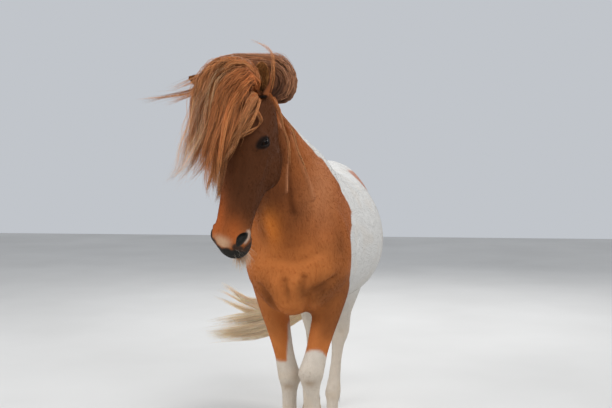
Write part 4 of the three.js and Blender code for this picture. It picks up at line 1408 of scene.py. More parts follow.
class Shader:
    """A material under construction: a Principled surface and the nodes that feed it."""

    def __init__(self, name: str) -> None:
        """Starts a material of this name with nothing but its surface and output."""
        self.material = bpy.data.materials.new(name)
        self.material.use_nodes = True
        self.tree = self.material.node_tree
        self.tree.nodes.clear()
        self.surface = self.tree.nodes.new("ShaderNodeBsdfPrincipled")
        output = self.tree.nodes.new("ShaderNodeOutputMaterial")
        self.tree.links.new(self.surface.outputs[0], output.inputs[0])

    def node(self, kind: str, settings: dict | None = None, inputs: dict | None = None,
             output: int | str = 0) -> Socket:
        """Any node.

        Args:
            kind: its type.
            settings: its own settings, set first. Stops are a ramp's (place, colour) pairs.
            inputs: values or sockets for its inputs, by name or number.
            output: which output to give back.

        Returns:
            That output.
        """
        node = self.tree.nodes.new(kind)
        for key, value in (settings or {}).items():
            if key == "stops":
                ramp = node.color_ramp
                while len(ramp.elements) < len(value):
                    ramp.elements.new(0.5)
                for element, (place, colour) in zip(ramp.elements, value):
                    element.position, element.color = place, (*colour, 1)
            else:
                setattr(node, key, value)
        self.feed(node, inputs or {})
        return Socket(self, node.outputs[output])

    def feed(self, node: bpy.types.Node, inputs: dict) -> None:
        """Sets or links inputs of a node.

        Args:
            node: the node.
            inputs: values or sockets, by name or number.
        """
        for key, value in inputs.items():
            socket = node.inputs[key]
            if isinstance(value, Socket):
                self.tree.links.new(value.link, socket)
            else:
                socket.default_value = value

    def tint(self) -> Socket:
        """The piece's own colour attribute."""
        return self.node("ShaderNodeAttribute", {"attribute_name": "tint"}, output="Color")

    def place(self) -> Socket:
        """The place on the piece."""
        return self.node("ShaderNodeTexCoord", output="Object")

    def mottle(self, scale: float, detail: float = 3.0, stretch: Sequence[float] = (1, 1, 1)) -> Socket:
        """Noise over the piece, from about 0.3 to 0.7."""
        at = self.node("ShaderNodeMapping", {}, {"Vector": self.place(), "Scale": tuple(stretch)})
        return self.node("ShaderNodeTexNoise", {}, {"Vector": at, "Scale": scale, "Detail": detail}, "Fac")

    def shaded(self, colour: Socket, value: Value) -> Socket:
        """A colour made lighter or darker by a number."""
        return self.node("ShaderNodeVectorMath", {"operation": "SCALE"}, {0: colour, "Scale": value})

    def relief(self, height: Socket, depth: float, strength: float) -> Socket:
        """A bump of this height in metres."""
        inputs = {"Height": height, "Distance": depth, "Strength": strength}
        return self.node("ShaderNodeBump", {}, inputs, "Normal")

    def finish(self, **inputs: object) -> bpy.types.Material:
        """The material, with these inputs of its surface, spaces in their names written as underscores."""
        self.feed(self.surface, {key.replace("_", " "): value for key, value in inputs.items()})
        return self.material


@dataclass(frozen=True)
class Hide:
    """Skin under short fur: the coat's colour, broken by hairs that run down, matt.

    Attributes:
        roughness: how matt it is.
        hair: how many hairs there are across a metre.
    """

    roughness: float = 0.72
    hair: float = 900.0

    def material(self) -> bpy.types.Material:
        """The finish as a material."""
        s = Shader("hide")
        strands = s.mottle(self.hair, 2.0, (1, 0.6, 0.16))
        patches = s.mottle(26.0, 3.0)
        colour = s.shaded(s.tint(), 0.74 + 0.34 * strands + 0.18 * patches)
        return s.finish(Base_Color=colour, Roughness=self.roughness, Normal=s.relief(strands, 0.0011, 0.7),
                        Specular_IOR_Level=0.12)


@dataclass(frozen=True)
class Hair:
    """Hair: its colour comes with each strand, lighter or darker in fine streaks, with a soft gloss.

    Attributes:
        name: the material's name.
        roughness: how matt it is.
        gloss: how much it shines.
    """

    name: str
    roughness: float = 0.55
    gloss: float = 0.20

    def material(self) -> bpy.types.Material:
        """The finish as a material."""
        s = Shader(self.name)
        colour = s.shaded(s.tint(), 0.84 + 0.32 * s.mottle(420.0, 2.0))
        return s.finish(Base_Color=colour, Roughness=self.roughness, Specular_IOR_Level=self.gloss)


@dataclass(frozen=True)
class Wet:
    """The eyeball: dark brown iris and black pupil under a clear wet coat."""

    def material(self) -> bpy.types.Material:
        """The finish as a material."""
        s = Shader("wet_eye")
        return s.finish(Base_Color=s.shaded(s.tint(), 0.8 + 0.4 * s.mottle(900.0)), Roughness=0.5,
                        Specular_IOR_Level=0.0, Coat_Weight=0.8, Coat_Roughness=0.02, Coat_IOR=1.15)


@dataclass(frozen=True)
class Bare:
    """Bare skin of the lids and lips: dark, finely creased and a little moist."""

    def material(self) -> bpy.types.Material:
        """The finish as a material."""
        s = Shader("bare_skin")
        creases = s.node("ShaderNodeTexVoronoi", {}, {"Vector": s.place(), "Scale": 700.0}, "Distance")
        return s.finish(Base_Color=s.shaded(s.tint(), 0.8 + 0.4 * s.mottle(220.0)), Roughness=0.42,
                        Normal=s.relief(creases, 0.0004, 0.6), Specular_IOR_Level=0.2)


@dataclass(frozen=True)
class Horn:
    """Pale striped hoof horn, with growth rings and fine upright lines."""

    def material(self) -> bpy.types.Material:
        """The finish as a material."""
        s = Shader("horn")
        lines = s.mottle(260.0, 3.0, (1, 1, 0.05))
        rings = s.mottle(210.0, 2.0, (0.08, 0.08, 1))
        colour = s.shaded(s.tint(), 0.74 + 0.3 * lines + 0.2 * rings)
        relief = s.relief(rings + 0.35 * lines, 0.0016, 0.8)
        return s.finish(Base_Color=colour, Roughness=0.46 + 0.2 * lines, Normal=relief,
                        Specular_IOR_Level=0.4)


def show(name: str, surface: Surface, tint: Array, uv: Array | None, material: bpy.types.Material,
         replaced: Sequence[str] = (), smooth: bool = True) -> None:
    """Puts a finished surface into the scene as a piece on the horse.

    Args:
        name: the piece's name.
        surface: its shape, in the modelling frame.
        tint: its colour at each point.
        uv: the place of each face corner on the unwrap, if it has one.
        material: its finish.
        replaced: the CAD nodes it stands for.
        smooth: whether it is shaded smooth.
    """
    mesh = Surface(surface.points + PLACE, surface.faces).mesh(name)
    if not smooth:
        mesh.polygons.foreach_set("use_smooth", np.zeros(len(mesh.polygons), bool))
    colours = mesh.color_attributes.new("tint", "FLOAT_COLOR", "POINT")
    colours.data.foreach_set("color", np.c_[tint, np.ones(len(tint))].astype(np.float32).ravel())
    if uv is not None:
        layer = mesh.uv_layers.new(name="OFBake")
        layer.uv.foreach_set("vector", uv.astype(np.float32).ravel())
    mesh.materials.append(material)
    piece = bpy.data.objects.new(name, mesh)
    bpy.context.scene.collection.objects.link(piece)
    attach(piece, BODY)
    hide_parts(*replaced)
    LOG.info("%s: %d triangles", name, len(surface.triangles()))


@dataclass
class Strands:
    """Many fine strands as closed three-sided tapers, each with its own path, width and colours.

    Attributes:
        paths: places along each strand, an array of shape (strands, places, 3).
        width: each strand's half width, in metres.
        root: each strand's colour at its root.
        tip: its colour at its tip.
        flat: the thickness as a share of the width.
        seed: which turn about its own line each strand has.
        patch: how wide its place on the unwrap is.
    """

    paths: Array
    width: Array
    root: Array
    tip: Array
    flat: float = 0.6
    seed: int = 1
    patch: float = 0.003

    def surface(self) -> Surface:
        """Three-cornered rings along each strand, with a cap at the root and a point at the tip."""
        count, places = self.paths.shape[:2]
        heading = unit(np.gradient(self.paths, axis=1))
        side = unit(np.cross(heading, np.array([0.31, 0.52, 0.8])))
        up = np.cross(side, heading)
        spin = np.random.default_rng(self.seed).uniform(0, 2 * np.pi, (count, 1, 1))
        across = np.cos(spin) * side + np.sin(spin) * up
        out = np.cross(across, heading) * self.flat
        share = np.linspace(0, 1, places)
        taper = (0.7 + 0.3 * np.sin(np.pi * np.minimum(share * 1.6, 1))) * (1 - share**2.2 * 0.75)
        half = (self.width[:, None] * taper)[:, :-1, None, None]
        corner = 2 * np.pi * np.arange(3) / 3
        ring = np.cos(corner)[:, None] * across[:, :-1, None] + np.sin(corner)[:, None] * out[:, :-1, None]
        rings = self.paths[:, :-1, None] + half * ring
        points = np.concatenate([rings.reshape(count, -1, 3), self.paths[:, -1:]], axis=1)
        each = points.shape[1]
        quads = grid_faces(places - 1, 3, True)[:, ::-1]
        last = 3 * (places - 2)
        corners = last + np.arange(3)
        point = np.full(3, each - 1)
        ends = np.concatenate([[[0, 1, 2]], np.stack([corners, point, np.roll(corners, -1)], -1)])
        start = (np.arange(count) * each)[:, None, None]
        faces = [(ends[None] + start).reshape(-1, 3), (quads[None] + start).reshape(-1, 4)]
        return Surface(points.reshape(-1, 3), faces)

    def colours(self) -> Array:
        """The colour at each point, from root to tip."""
        places = self.paths.shape[1]
        share = np.append(np.repeat(np.linspace(0, 1, places)[:-1], 3), 1.0)[None, :, None]
        return (self.root[:, None] + share * (self.tip - self.root)[:, None]).reshape(-1, 3)

    def uv(self, surface: Surface) -> Array:
        """A patch for each strand at its root's place on the unwrap, with the root left and the tip right.

        Args:
            surface: the strands' surface.

        Returns:
            One row for each corner of each face.
        """
        places = self.paths.shape[1]
        share = np.append(np.repeat(np.linspace(0, 1, places)[:-1], 3), 1.0)
        turn = np.append(np.tile([0, 0.5, 1.0], places - 1), 0.5)
        patch = (np.stack([share, turn], -1) - 0.5) * self.patch
        at = (REGIONS.of_roots(self.paths[:, 0])[:, None] + patch).reshape(-1, 2)
        return np.concatenate([at[face.ravel()] for face in surface.faces])


@dataclass(frozen=True)
class Bundle:
    """A bundle of hair that hangs or blows along a path, combed into clumps that draw together to their tips.

    Attributes:
        places: rows of nine numbers, the bundle's middle, half its width and half its depth, in millimetres.
        strands: how many strands.
        clumps: how many clumps they gather in.
        ends: the shares of the path at which the shortest and the longest clump end.
        width: half a strand's width, in millimetres.
        gather: how far a clump has drawn together at its tip, from 0 to 1.
        wave: how far a clump swings to and fro, in millimetres.
        stray: the share of strands that leave their clump.
        root: the colour at the root, as shown on screen.
        tip: the colour at the tip.
        light: the share of strands that are paler from bleaching.
        vary: how much lighter or darker clumps and strands are than each other.
        seed: which arrangement.
        rings: places along each strand.
    """

    places: Rows
    strands: int
    clumps: int
    ends: tuple[float, float]
    width: float = 1.2
    gather: float = 0.75
    wave: float = 6.0
    stray: float = 0.05
    root: Three = (152, 80, 34)
    tip: Three = (226, 160, 106)
    light: float = 0.12
    vary: float = 0.26
    seed: int = 1
    rings: int = 10

    def made(self) -> Strands:
        """The strands of the bundle.

        A strand runs along its clump's line, which keeps its own place in the bundle's oval section. Its
        distance from that line shrinks towards the tip. A slow wave, the same for a whole clump, and a small
        one of its own are added, growing from the root.
        """
        rng = np.random.default_rng(self.seed)
        rows = np.array(self.places, float).reshape(-1, 3, 3) * MM
        last = len(rows) - 1
        turn, far = rng.uniform(0, 2 * np.pi, self.clumps), np.sqrt(rng.uniform(0.05, 1, self.clumps))
        middle = np.stack([np.cos(turn), np.sin(turn)], -1) * far[:, None]
        clump_end = rng.uniform(*self.ends, self.clumps)
        clump = rng.integers(0, self.clumps, self.strands)
        turn, far = rng.uniform(0, 2 * np.pi, self.strands), np.sqrt(rng.uniform(0, 1, self.strands))
        loose = rng.random(self.strands) < self.stray
        spread = np.where(loose, 0.7, 2.2 / np.sqrt(self.clumps))
        own = middle[clump] + np.stack([np.cos(turn), np.sin(turn)], -1) * (far * spread)[:, None]
        own /= np.maximum(1, np.linalg.norm(own, axis=1, keepdims=True))
        end = clump_end[clump] * rng.uniform(0.86, 1.0, self.strands)
        end = np.clip(end + np.where(loose, rng.uniform(-0.1, 0.08, self.strands), 0), 0.2, 1.0)
        share = np.linspace(0, 1, self.rings)
        t = share[None] * end[:, None] * last
        at, across, through = (glide(rows[:, k], t.ravel()).reshape(*t.shape, 3) for k in range(3))
        pull = (self.gather * share**1.5)[None, :, None] * np.where(loose, 0.2, 1.0)[:, None, None]
        place = own[:, None] + pull * (middle[clump][:, None] - own[:, None])
        path = at + across * place[..., :1] + through * place[..., 1:]
        phase = rng.uniform(0, 2 * np.pi, (self.clumps, 3))[clump]
        pace = rng.uniform(0.7, 1.6, (self.clumps, 3))[clump]
        slow = np.sin(phase[:, None] + t[..., None] * pace[:, None] * 1.9) - np.sin(phase[:, None])
        quick = rng.normal(0, 1, (self.strands, 1, 3)) * share[None, :, None] ** 1.5
        strength = np.where(loose, 2.2, 1.0)[:, None, None]
        sway = slow * self.wave + quick * 0.45 * self.wave * strength
        path = path + sway * MM * share[None, :, None] ** 0.6
        shade = 1 + self.vary * (rng.normal(0, 1, self.clumps)[clump] + rng.normal(0, 1, self.strands))
        shade = np.clip(shade, 0.35, 1.9)[:, None]
        warm = 1 + 0.12 * rng.normal(0, 1, (self.strands, 1)) * np.array([0.3, 0.0, -0.6])
        bleach_and_highlight = 0.55 * (rng.random((self.strands, 1)) < self.light)
        root = tone(*self.root) * shade
        root = (root + bleach_and_highlight * (tone(*self.tip) - root)) * warm
        tip = root + (tone(*self.tip) * shade * warm - root) * rng.uniform(0.5, 1.0, (self.strands, 1))
        width = self.width * MM * rng.uniform(0.7, 1.25, self.strands)
        return Strands(path, width, np.clip(root, 0, 1), np.clip(tip, 0, 1), seed=self.seed)


def show_hair(name: str, bundles: Sequence[Strands], material: bpy.types.Material,
              replaced: Sequence[str] = ()) -> None:
    """Joins some bundles of strands into one piece.

    Args:
        name: the piece's name.
        bundles: the strands.
        material: their finish.
        replaced: the CAD nodes they stand for.
    """
    surfaces = [bundle.surface() for bundle in bundles]
    tint = np.concatenate([bundle.colours() for bundle in bundles])
    uv = np.concatenate([bundle.uv(surface) for bundle, surface in zip(bundles, surfaces)])
    show(name, Surface.joined(surfaces), tint, uv, material, replaced)


@dataclass(frozen=True)
class Hairs:
    """One piece of long hair.

    Attributes:
        name: its name.
        bundles: what it is made of.
        slot: the record's slot for its finish; not used.
        replaced: the CAD nodes it stands for.
    """

    name: str
    bundles: tuple[Bundle, ...]
    slot: Slot = Slot.CHESTNUT
    replaced: tuple[str, ...] = ()

    def build(self, material: bpy.types.Material) -> None:
        """Makes the piece."""
        show_hair(self.name, [bundle.made() for bundle in self.bundles], material, self.replaced)


# What the upper and lower mane share, and the thin locks of the neck, and the tongues of the tail.
MANE = {"gather": 0.7, "wave": 8, "root": (132, 80, 48), "rings": 9}
LOCK = {
    "width": 0.7, "gather": 0.8, "wave": 2, "stray": 0.08, "root": (150, 86, 48), "light": 0.4, "rings": 9,
}
TONGUE = {
    "width": 1.6, "gather": 0.75, "wave": 8, "root": (255, 206, 160), "tip": (255, 228, 196), "vary": 0.12,
    "rings": 12,
}

# The first rows of the strands of the forelock, and of the tail's tongues.
FORELOCK_START = (
    (-38, -1088, 1564, -16, -4, -8, -4, 12, 2), (-34, -1088, 1610, -14, -2, -14, -4, 12, 2),
    (-73, -1110, 1655, -6, -2, -22, -7, 14, 1), (-137, -1140, 1640, 27, 3, -29, -5, 17, -3),
)
TAIL_START = (
    (0, 752, 1180, 24, 0, 0, 0, 20, 14), (-40, 838, 900, 40, 0, -12, 0, 34, 0),
)

HAIRS = (
    Hairs("forelock_over", (
        # The main fall: up from the poll, over to the right and down.
        Bundle((
            *FORELOCK_START, (-182, -1160, 1546, 47, 7, -14, -4, 22, -2),
            (-195, -1165, 1434, 45, 7, -8, -3, 22, 1), (-221, -1160, 1342, 39, 6, -17, -2, 18, 2),
            (-265, -1150, 1275, 28, 4, -18, 0, 14, 2),
        ), 2300, 36, (0.56, 1.0), gather=0.72, wave=9, stray=0.14, seed=12),
        # Longer pale strands that go the same way.
        Bundle((
            *FORELOCK_START, (-186, -1165, 1546, 40, 7, -14, -4, 22, -2),
            (-212, -1170, 1440, 32, 7, -12, -3, 22, 1), (-246, -1165, 1362, 22, 6, -17, -2, 18, 2),
            (-284, -1160, 1304, 14, 4, -20, 0, 14, 2), (-330, -1150, 1252, 10, 4, -24, 0, 14, 2),
        ), 260, 12, (0.84, 1.0), width=0.7, gather=0.55, wave=12, stray=0.35, root=(176, 104, 60),
           tip=(246, 196, 154), light=0.5, seed=16, rings=12),
        # Strands blown far out to the right.
        Bundle((
            (-40, -1078, 1566, -14, 0, -8, 0, 10, 0), (-62, -1074, 1628, 2, 0, -18, 0, 14, 0),
            (-142, -1080, 1633, 4, 0, -23, 0, 20, 0), (-261, -1070, 1588, 7, 0, -23, 3, 26, 1),
            (-364, -1050, 1567, 3, -1, -24, 4, 28, 0), (-458, -1040, 1562, 1, -1, -24, 3, 28, -1),
        ), 300, 14, (0.5, 1.0), width=0.8, gather=0.85, wave=8, stray=0.2, light=0.5, seed=13),
        # A wisp that stands up over the poll.
        Bundle((
            (5, -1052, 1570, 8, 6, 0, 0, 0, 4), (20, -1046, 1640, 5, 4, 0, 0, 0, 3),
            (12, -1042, 1705, 4, 3, 2, 0, 0, 3), (-28, -1038, 1742, 2, 3, 4, 0, 0, 3),
            (-92, -1032, 1758, 0, 4, 8, 0, 0, 3),
        ), 26, 5, (0.7, 1.0), width=0.6, gather=0.7, wave=5, stray=0.3, light=0.5, seed=14),
    )),
    Hairs("forelock_brow", (
        # The fall over the brow and beside the face.
        Bundle((
            (-38, -1094, 1560, -14, -4, -12, -8, 6, 6), (-30, -1112, 1590, -8, -2, -18, -7, 6, 3),
            (-47, -1160, 1610, 15, 1, -29, -9, 7, -4), (-87, -1190, 1549, 41, 6, -19, -4, 15, -3),
            (-117, -1215, 1445, 43, 6, -12, -4, 20, -2), (-141, -1225, 1341, 38, 6, -6, -3, 18, -1),
            (-143, -1230, 1251, 32, 5, 0, -2, 12, -1), (-139, -1235, 1187, 22, 4, 1, -1, 8, -1),
        ), 2000, 38, (0.5, 0.92), gather=0.68, wave=9, stray=0.16, root=(140, 70, 28), tip=(216, 144, 90),
           seed=18),
        # The locks nearest the face.
        Bundle((
            (-22, -1104, 1552, 2, -1, -12, -5, 3, 2), (-16, -1165, 1544, 13, 2, -14, -4, 4, -3),
            (-43, -1190, 1497, 22, 3, -13, -2, 8, -2), (-78, -1210, 1426, 23, 3, -12, -2, 9, -1),
            (-114, -1225, 1348, 23, 3, -11, -1, 9, 0), (-148, -1225, 1277, 17, 2, -8, -1, 8, 0),
        ), 420, 14, (0.55, 1.0), gather=0.85, wave=9, stray=0.12, light=0.4, seed=15),
        # The curl in front of the left eye.
        Bundle((
            (-40, -1112, 1556, 6, 0, -6, -3, 3, 2), (-34, -1158, 1528, 3, 1, -3, -2, 3, -1),
            (-8, -1160, 1500, 3, 1, 2, -2, 2, -1), (4, -1166, 1470, 3, 1, 2, -1, 2, -1),
            (-10, -1182, 1447, 1, 1, 3, -1, 2, 0), (-46, -1198, 1428, 0, 1, 4, -1, 3, 0),
            (-84, -1206, 1402, 0, 2, 6, -1, 3, 0), (-122, -1212, 1362, 2, 2, 6, -1, 3, 0),
        ), 80, 5, (0.75, 1.0), width=0.7, gather=0.6, wave=4, stray=0.25, light=0.3, seed=17, rings=12),
    )),
    Hairs("mane_roll", (
        # The outside of the roll.
        Bundle((
            (-22, -948, 1560, -6, 50, 3, -1, -3, 18), (28, -946, 1562, -7, 56, 3, -17, -4, 15),
            (53, -945, 1598, -8, 60, 5, -26, -4, 7), (52, -950, 1640, -14, 60, 7, -28, -5, -12),
            (11, -965, 1678, -21, 57, 2, -12, -3, -30), (-55, -990, 1683, -21, 54, -3, 1, -1, -29),
            (-133, -1020, 1675, -18, 51, -6, 10, 0, -25), (-210, -1050, 1630, -10, 47, -4, 13, 1, -20),
            (-285, -1060, 1580, -4, 36, -1, 10, 1, -14),
        ), 1900, 34, (0.62, 1.0), gather=0.5, wave=5, stray=0.05, root=(96, 64, 48), tip=(222, 156, 112),
           seed=21, rings=11),
        # Its darker inside, coloured with painted shade under the roll.
        Bundle((
            (-18, -985, 1552, -8, 49, -2, -14, -3, 12), (12, -975, 1585, -8, 53, 2, -27, -4, 6),
            (18, -975, 1622, -14, 53, 9, -28, -5, -12), (-9, -985, 1645, -25, 50, 2, -8, -3, -28),
            (-58, -1010, 1645, -28, 46, -6, 5, 0, -27), (-111, -1040, 1630, -23, 42, -12, 13, 1, -22),
            (-171, -1085, 1580, -15, 34, -10, 13, 1, -15),
        ), 900, 16, (0.6, 1.0), gather=0.4, wave=5, stray=0.03, root=(56, 36, 26), tip=(150, 96, 62),
           seed=22),
    )),
    Hairs("mane_upper", (
        # The upper mane, over the crest and down the right side.
        Bundle((
            (-46, -860, 1528, 6, 75, 14, 14, 0, 0), (-110, -870, 1538, 6, 84, 14, -10, 0, 18),
            (-176, -885, 1455, 0, 94, 20, -24, 0, 4), (-204, -905, 1335, 0, 96, 20, -24, 0, 0),
            (-226, -920, 1215, 0, 90, 20, -24, 0, 0),
        ), 1700, 26, (0.72, 1.0), width=1.5, seed=31, **MANE),
        # Two thin locks down the left side, behind the ear.
        Bundle((
            (8, -1020, 1572, 5, 6, 0, 2, 0, 2), (32, -1010, 1520, 5, 6, -2, 2, -1, 0),
            (36, -950, 1463, 4, 6, -2, 2, -1, 0), (42, -885, 1410, 4, 5, -2, 2, -1, 0),
            (42, -855, 1350, 3, 4, -2, 2, -1, 0), (36, -825, 1290, 3, 3, -1, 2, -1, 0),
        ), 110, 3, (0.7, 1.0), seed=33, **LOCK),
        Bundle((
            (6, -960, 1540, 4, 5, 0, 2, 0, 2), (30, -905, 1490, 4, 5, -2, 2, -1, 0),
            (50, -862, 1460, 4, 6, -2, 2, -1, 0), (60, -812, 1385, 4, 5, -2, 2, -1, 0),
            (76, -766, 1328, 3, 5, -2, 2, -1, 0), (94, -712, 1250, 3, 4, -1, 2, -1, 0),
        ), 110, 3, (0.6, 1.0), seed=34, **LOCK),
    )),
    Hairs("mane_lower", (
        # The lower mane, over the crest and down the right side.
        Bundle((
            (-28, -640, 1464, 8, 128, -38, 12, 0, 0), (-105, -665, 1474, 8, 128, -34, -10, 0, 18),
            (-180, -690, 1388, 0, 126, -30, -24, 0, 4), (-218, -715, 1275, 0, 122, -30, -24, 0, 0),
            (-246, -735, 1165, 0, 116, -24, -24, 0, 0),
        ), 2400, 34, (0.72, 1.0), width=1.6, seed=32, **MANE),
    )),
    Hairs("tail_hair", (
        # The whole tail, blown out to the right.
        Bundle((
            (0, 748, 1195, 24, 0, 0, 0, 22, 14), (-14, 800, 1070, 40, 0, 0, 0, 32, 10),
            (-50, 838, 900, 56, 0, -12, 0, 38, 0), (-120, 858, 690, 62, 0, -36, 0, 42, 0),
            (-240, 862, 520, 44, 0, -66, 2, 44, 0), (-400, 875, 428, 10, 0, -80, 1, 44, -1),
            (-590, 870, 392, 12, 0, -82, -4, 44, -1), (-792, 840, 366, 9, 0, -76, -6, 39, -2),
        ), 1750, 34, (0.88, 1.0), width=1.9, gather=0.3, wave=6, root=(255, 212, 166), tip=(255, 230, 198),
           vary=0.1, seed=41, rings=13),
        # Three tongues that leave it upwards, one above the other.
        Bundle((
            *TAIL_START, (-110, 856, 690, 44, 0, -26, 0, 36, 0), (-270, 864, 482, 4, 0, -26, 0, 24, 0),
            (-433, 870, 481, -5, 0, -22, 0, 20, -2), (-564, 870, 511, -6, 0, -22, -1, 18, -1),
            (-731, 850, 574, -4, 0, -11, -1, 8, 0),
        ), 320, 9, (0.8, 1.0), seed=42, **TONGUE),
        Bundle((
            *TAIL_START, (-105, 856, 700, 44, 0, -22, 0, 36, 0), (-250, 864, 507, 4, 0, -24, 0, 24, 0),
            (-434, 870, 515, 0, 0, -20, 0, 19, 0), (-534, 870, 536, 0, 0, -16, 0, 16, 0),
            (-620, 860, 575, 0, 0, -12, 0, 11, 0), (-701, 850, 621, 0, 0, -7, 0, 6, 0),
        ), 200, 6, (0.8, 1.0), seed=43, **TONGUE),
        Bundle((
            *TAIL_START, (-100, 856, 710, 44, 0, -22, 0, 36, 0), (-250, 864, 522, 4, 0, -20, 0, 24, 0),
            (-434, 870, 539, 0, 0, -15, 0, 16, 0), (-528, 870, 559, 0, 0, -12, 0, 12, 0),
            (-603, 860, 605, 0, 0, -8, 0, 8, 0), (-677, 850, 657, 0, 0, -4, 0, 4, 0),
        ), 140, 5, (0.75, 1.0), seed=44, **TONGUE),
    ), Slot.FLAXEN, ("tail_upper", "tail_lower")),
)


@dataclass(frozen=True)
class Coat:
    """The short coat: thin tufts rooted all over the skin, each a closed taper that lies its own way.

    Attributes:
        tufts: how many in all.
        pieces: how many pieces they are divided among.
        seed: which arrangement.
        sunk: how far a tuft's base lies under the skin, in metres.
        tints: how light a tuft is at the two corners of its base, its ridge and its tip.
        patch: half the width of its place on the unwrap.
    """

    tufts: int = 138000
    pieces: int = 4
    seed: int = 5
    sunk: float = 0.0012
    tints: tuple[float, float, float, float] = (0.98, 0.98, 1.0, 1.05)
    patch: float = 0.0015

    def lie(self, points: Array) -> Array:
        """The way the hair lies: back and down on the barrel, down on chest and legs, and down the face.

        Args:
            points: points on the skin.

        Returns:
            One direction for each point.
        """
        x, y, z = points.T
        h = in_head(points)
        head = of_head(h)[:, None]
        chest = (ease(-0.42, -0.60, y) * ease(1.25, 1.05, z))[:, None]
        neck = (ease(-0.50, -0.75, y) * ease(1.0, 1.2, z))[:, None]
        leg = ease(0.82, 0.68, z)[:, None]
        out = np.where(x > 0, 1.0, -1.0) * ease(0.02, 0.1, np.abs(x))
        way = np.broadcast_to([0.0, 1.0, -0.38], points.shape).copy()
        way += neck * (np.array([0.0, 0.62, -0.80]) - way)
        way += chest * (np.stack([0.35 * out, 0 * y, 0 * y - 1], -1) - way)
        way += leg * (np.array([0.0, 0.12, -1.0]) - way)
        out_of_face, to_lips = HEAD.frame.axes[1:]
        down = to_lips - 0.35 * ease(60, -60, h[:, 1])[:, None] * out_of_face
        down = down - 0.4 * ease(110, 20, h[:, 2])[:, None] * out_of_face
        way += head * (down - way)
        swirl = np.stack([noise(points, 0.16, 20 + k) for k in range(3)], -1)
        return unit(way + 0.12 * swirl)

    def length(self, points: Array) -> Array:
        """How long the tufts are, in millimetres: shortest on face and feet, longest under belly and chin.

        Args:
            points: points on the skin.

        Returns:
            One length for each point.
        """
        y, z = points[:, 1:].T
        h = in_face(points)
        long = 12 + 6 * ease(0.80, 0.68, z) * ease(0.45, 0.2, np.abs(y))
        leg = ease(0.80, 0.64, z) * ease(0.17, 0.14, near_legs(points).min(axis=0))
        long = long + leg * (9 - long)
        jaw = 8 * ease(-80, -130, h[:, 1]) * ease(360, 240, h[:, 2])
        face = 7.5 - 3.0 * ease(420, 520, h[:, 2]) + jaw
        return long + of_head(h) * (face - long)

    def density(self, skin: Surface, corners: Index) -> Array:
        """The weight of each triangle of the skin in the draw of roots: its area, more where fur is denser.

        Args:
            skin: the skin.
            corners: its triangles.

        Returns:
            One weight for each triangle, 0 on lips, lids and nostrils.
        """
        a, b, c = (skin.points[corners[:, k]] for k in range(3))
        middle = (a + b + c) / 3
        area = np.linalg.norm(np.cross(b - a, c - a), axis=1)
        h = in_face(middle)
        one = folded(h)
        head = of_head(h)
        bare = ease(15, 9, from_line(one, MOUTH)) * ease(478, 500, one[:, 2])
        for side in (-1, 1):
            for almond, outer, inner in ((NOSTRIL, 1.5, 1.25), (EYE, 1.4, 1.15)):
                q = almond.local(h, side)
                close = np.linalg.norm(q, axis=1) < 60
                bare = np.maximum(bare, close * ease(outer, inner, almond.reach(q)))
        return area * (1 - head * bare) * (1 + 1.1 * head) * (1 + 0.6 * ease(0.75, 0.6, middle[:, 2]))

    def build(self, skin: Surface, material: bpy.types.Material) -> None:
        """Makes the tufts.

        A tuft's base is a small triangle across its lie, with a ridge on top, and it runs to one point:
        root + length x (cosine of tilt x lie + sine of tilt x normal).

        Args:
            skin: what they stand on.
            material: their finish.
        """
        rng = np.random.default_rng(self.seed)
        corners = skin.triangles()
        a, b, c = (skin.points[corners[:, k]] for k in range(3))
        weight = self.density(skin, corners)
        chosen = rng.choice(len(corners), self.tufts, p=weight / weight.sum())
        s, t = rng.random((2, self.tufts))
        s, t = np.where(s + t > 1, 1 - s, s), np.where(s + t > 1, 1 - t, t)
        root = a[chosen] + s[:, None] * (b - a)[chosen] + t[:, None] * (c - a)[chosen]
        normals = skin.normals()
        na, nb, nc = (normals[corners[chosen, k]] for k in range(3))
        normal = unit(na + s[:, None] * (nb - na) + t[:, None] * (nc - na))
        way = self.lie(root) + rng.normal(0, 0.07, root.shape)
        way = unit(way - np.sum(way * normal, axis=1, keepdims=True) * normal)
        side = np.cross(normal, way)
        length = self.length(root) * rng.uniform(0.7, 1.25, self.tufts) * MM
        tilt = np.radians(np.clip(rng.normal(3.2, 1.6, self.tufts), 1, 12))[:, None]
        half = (0.30 + 0.030 * length / MM) * MM * rng.uniform(0.8, 1.2, self.tufts)
        sunk = root - self.sunk * normal
        tip = root + length[:, None] * (np.cos(tilt) * way + np.sin(tilt) * normal)
        ridge = root + (0.0002 + 0.10 * half[:, None]) * normal + 0.12 * length[:, None] * way
        points = np.stack([sunk - half[:, None] * side, sunk + half[:, None] * side, ridge, tip], axis=1)
        each = np.array([[0, 2, 1], [0, 3, 2], [1, 2, 3], [0, 1, 3]])
        colour = MARKINGS.coat(root) * (1 + 0.05 * rng.normal(0, 1, (self.tufts, 1)))
        tint = colour[:, None] * np.array(self.tints)[None, :, None]
        uv = REGIONS.of_roots(root)[:, None] + np.array([[-1, -1], [1, -1], [0, 0], [0, 1]]) * self.patch
        order = np.argsort(root[:, 1], kind="stable")
        for k, part in enumerate(np.array_split(order, self.pieces)):
            faces = (each[None] + 4 * np.arange(len(part))[:, None, None]).reshape(-1, 3)
            surface = Surface(points[part].reshape(-1, 3), [faces])
            show(f"coat_{k + 1}", surface, np.clip(tint[part], 0, 1).reshape(-1, 3),
                 uv[part].reshape(-1, 2)[faces.ravel()], material, smooth=False)


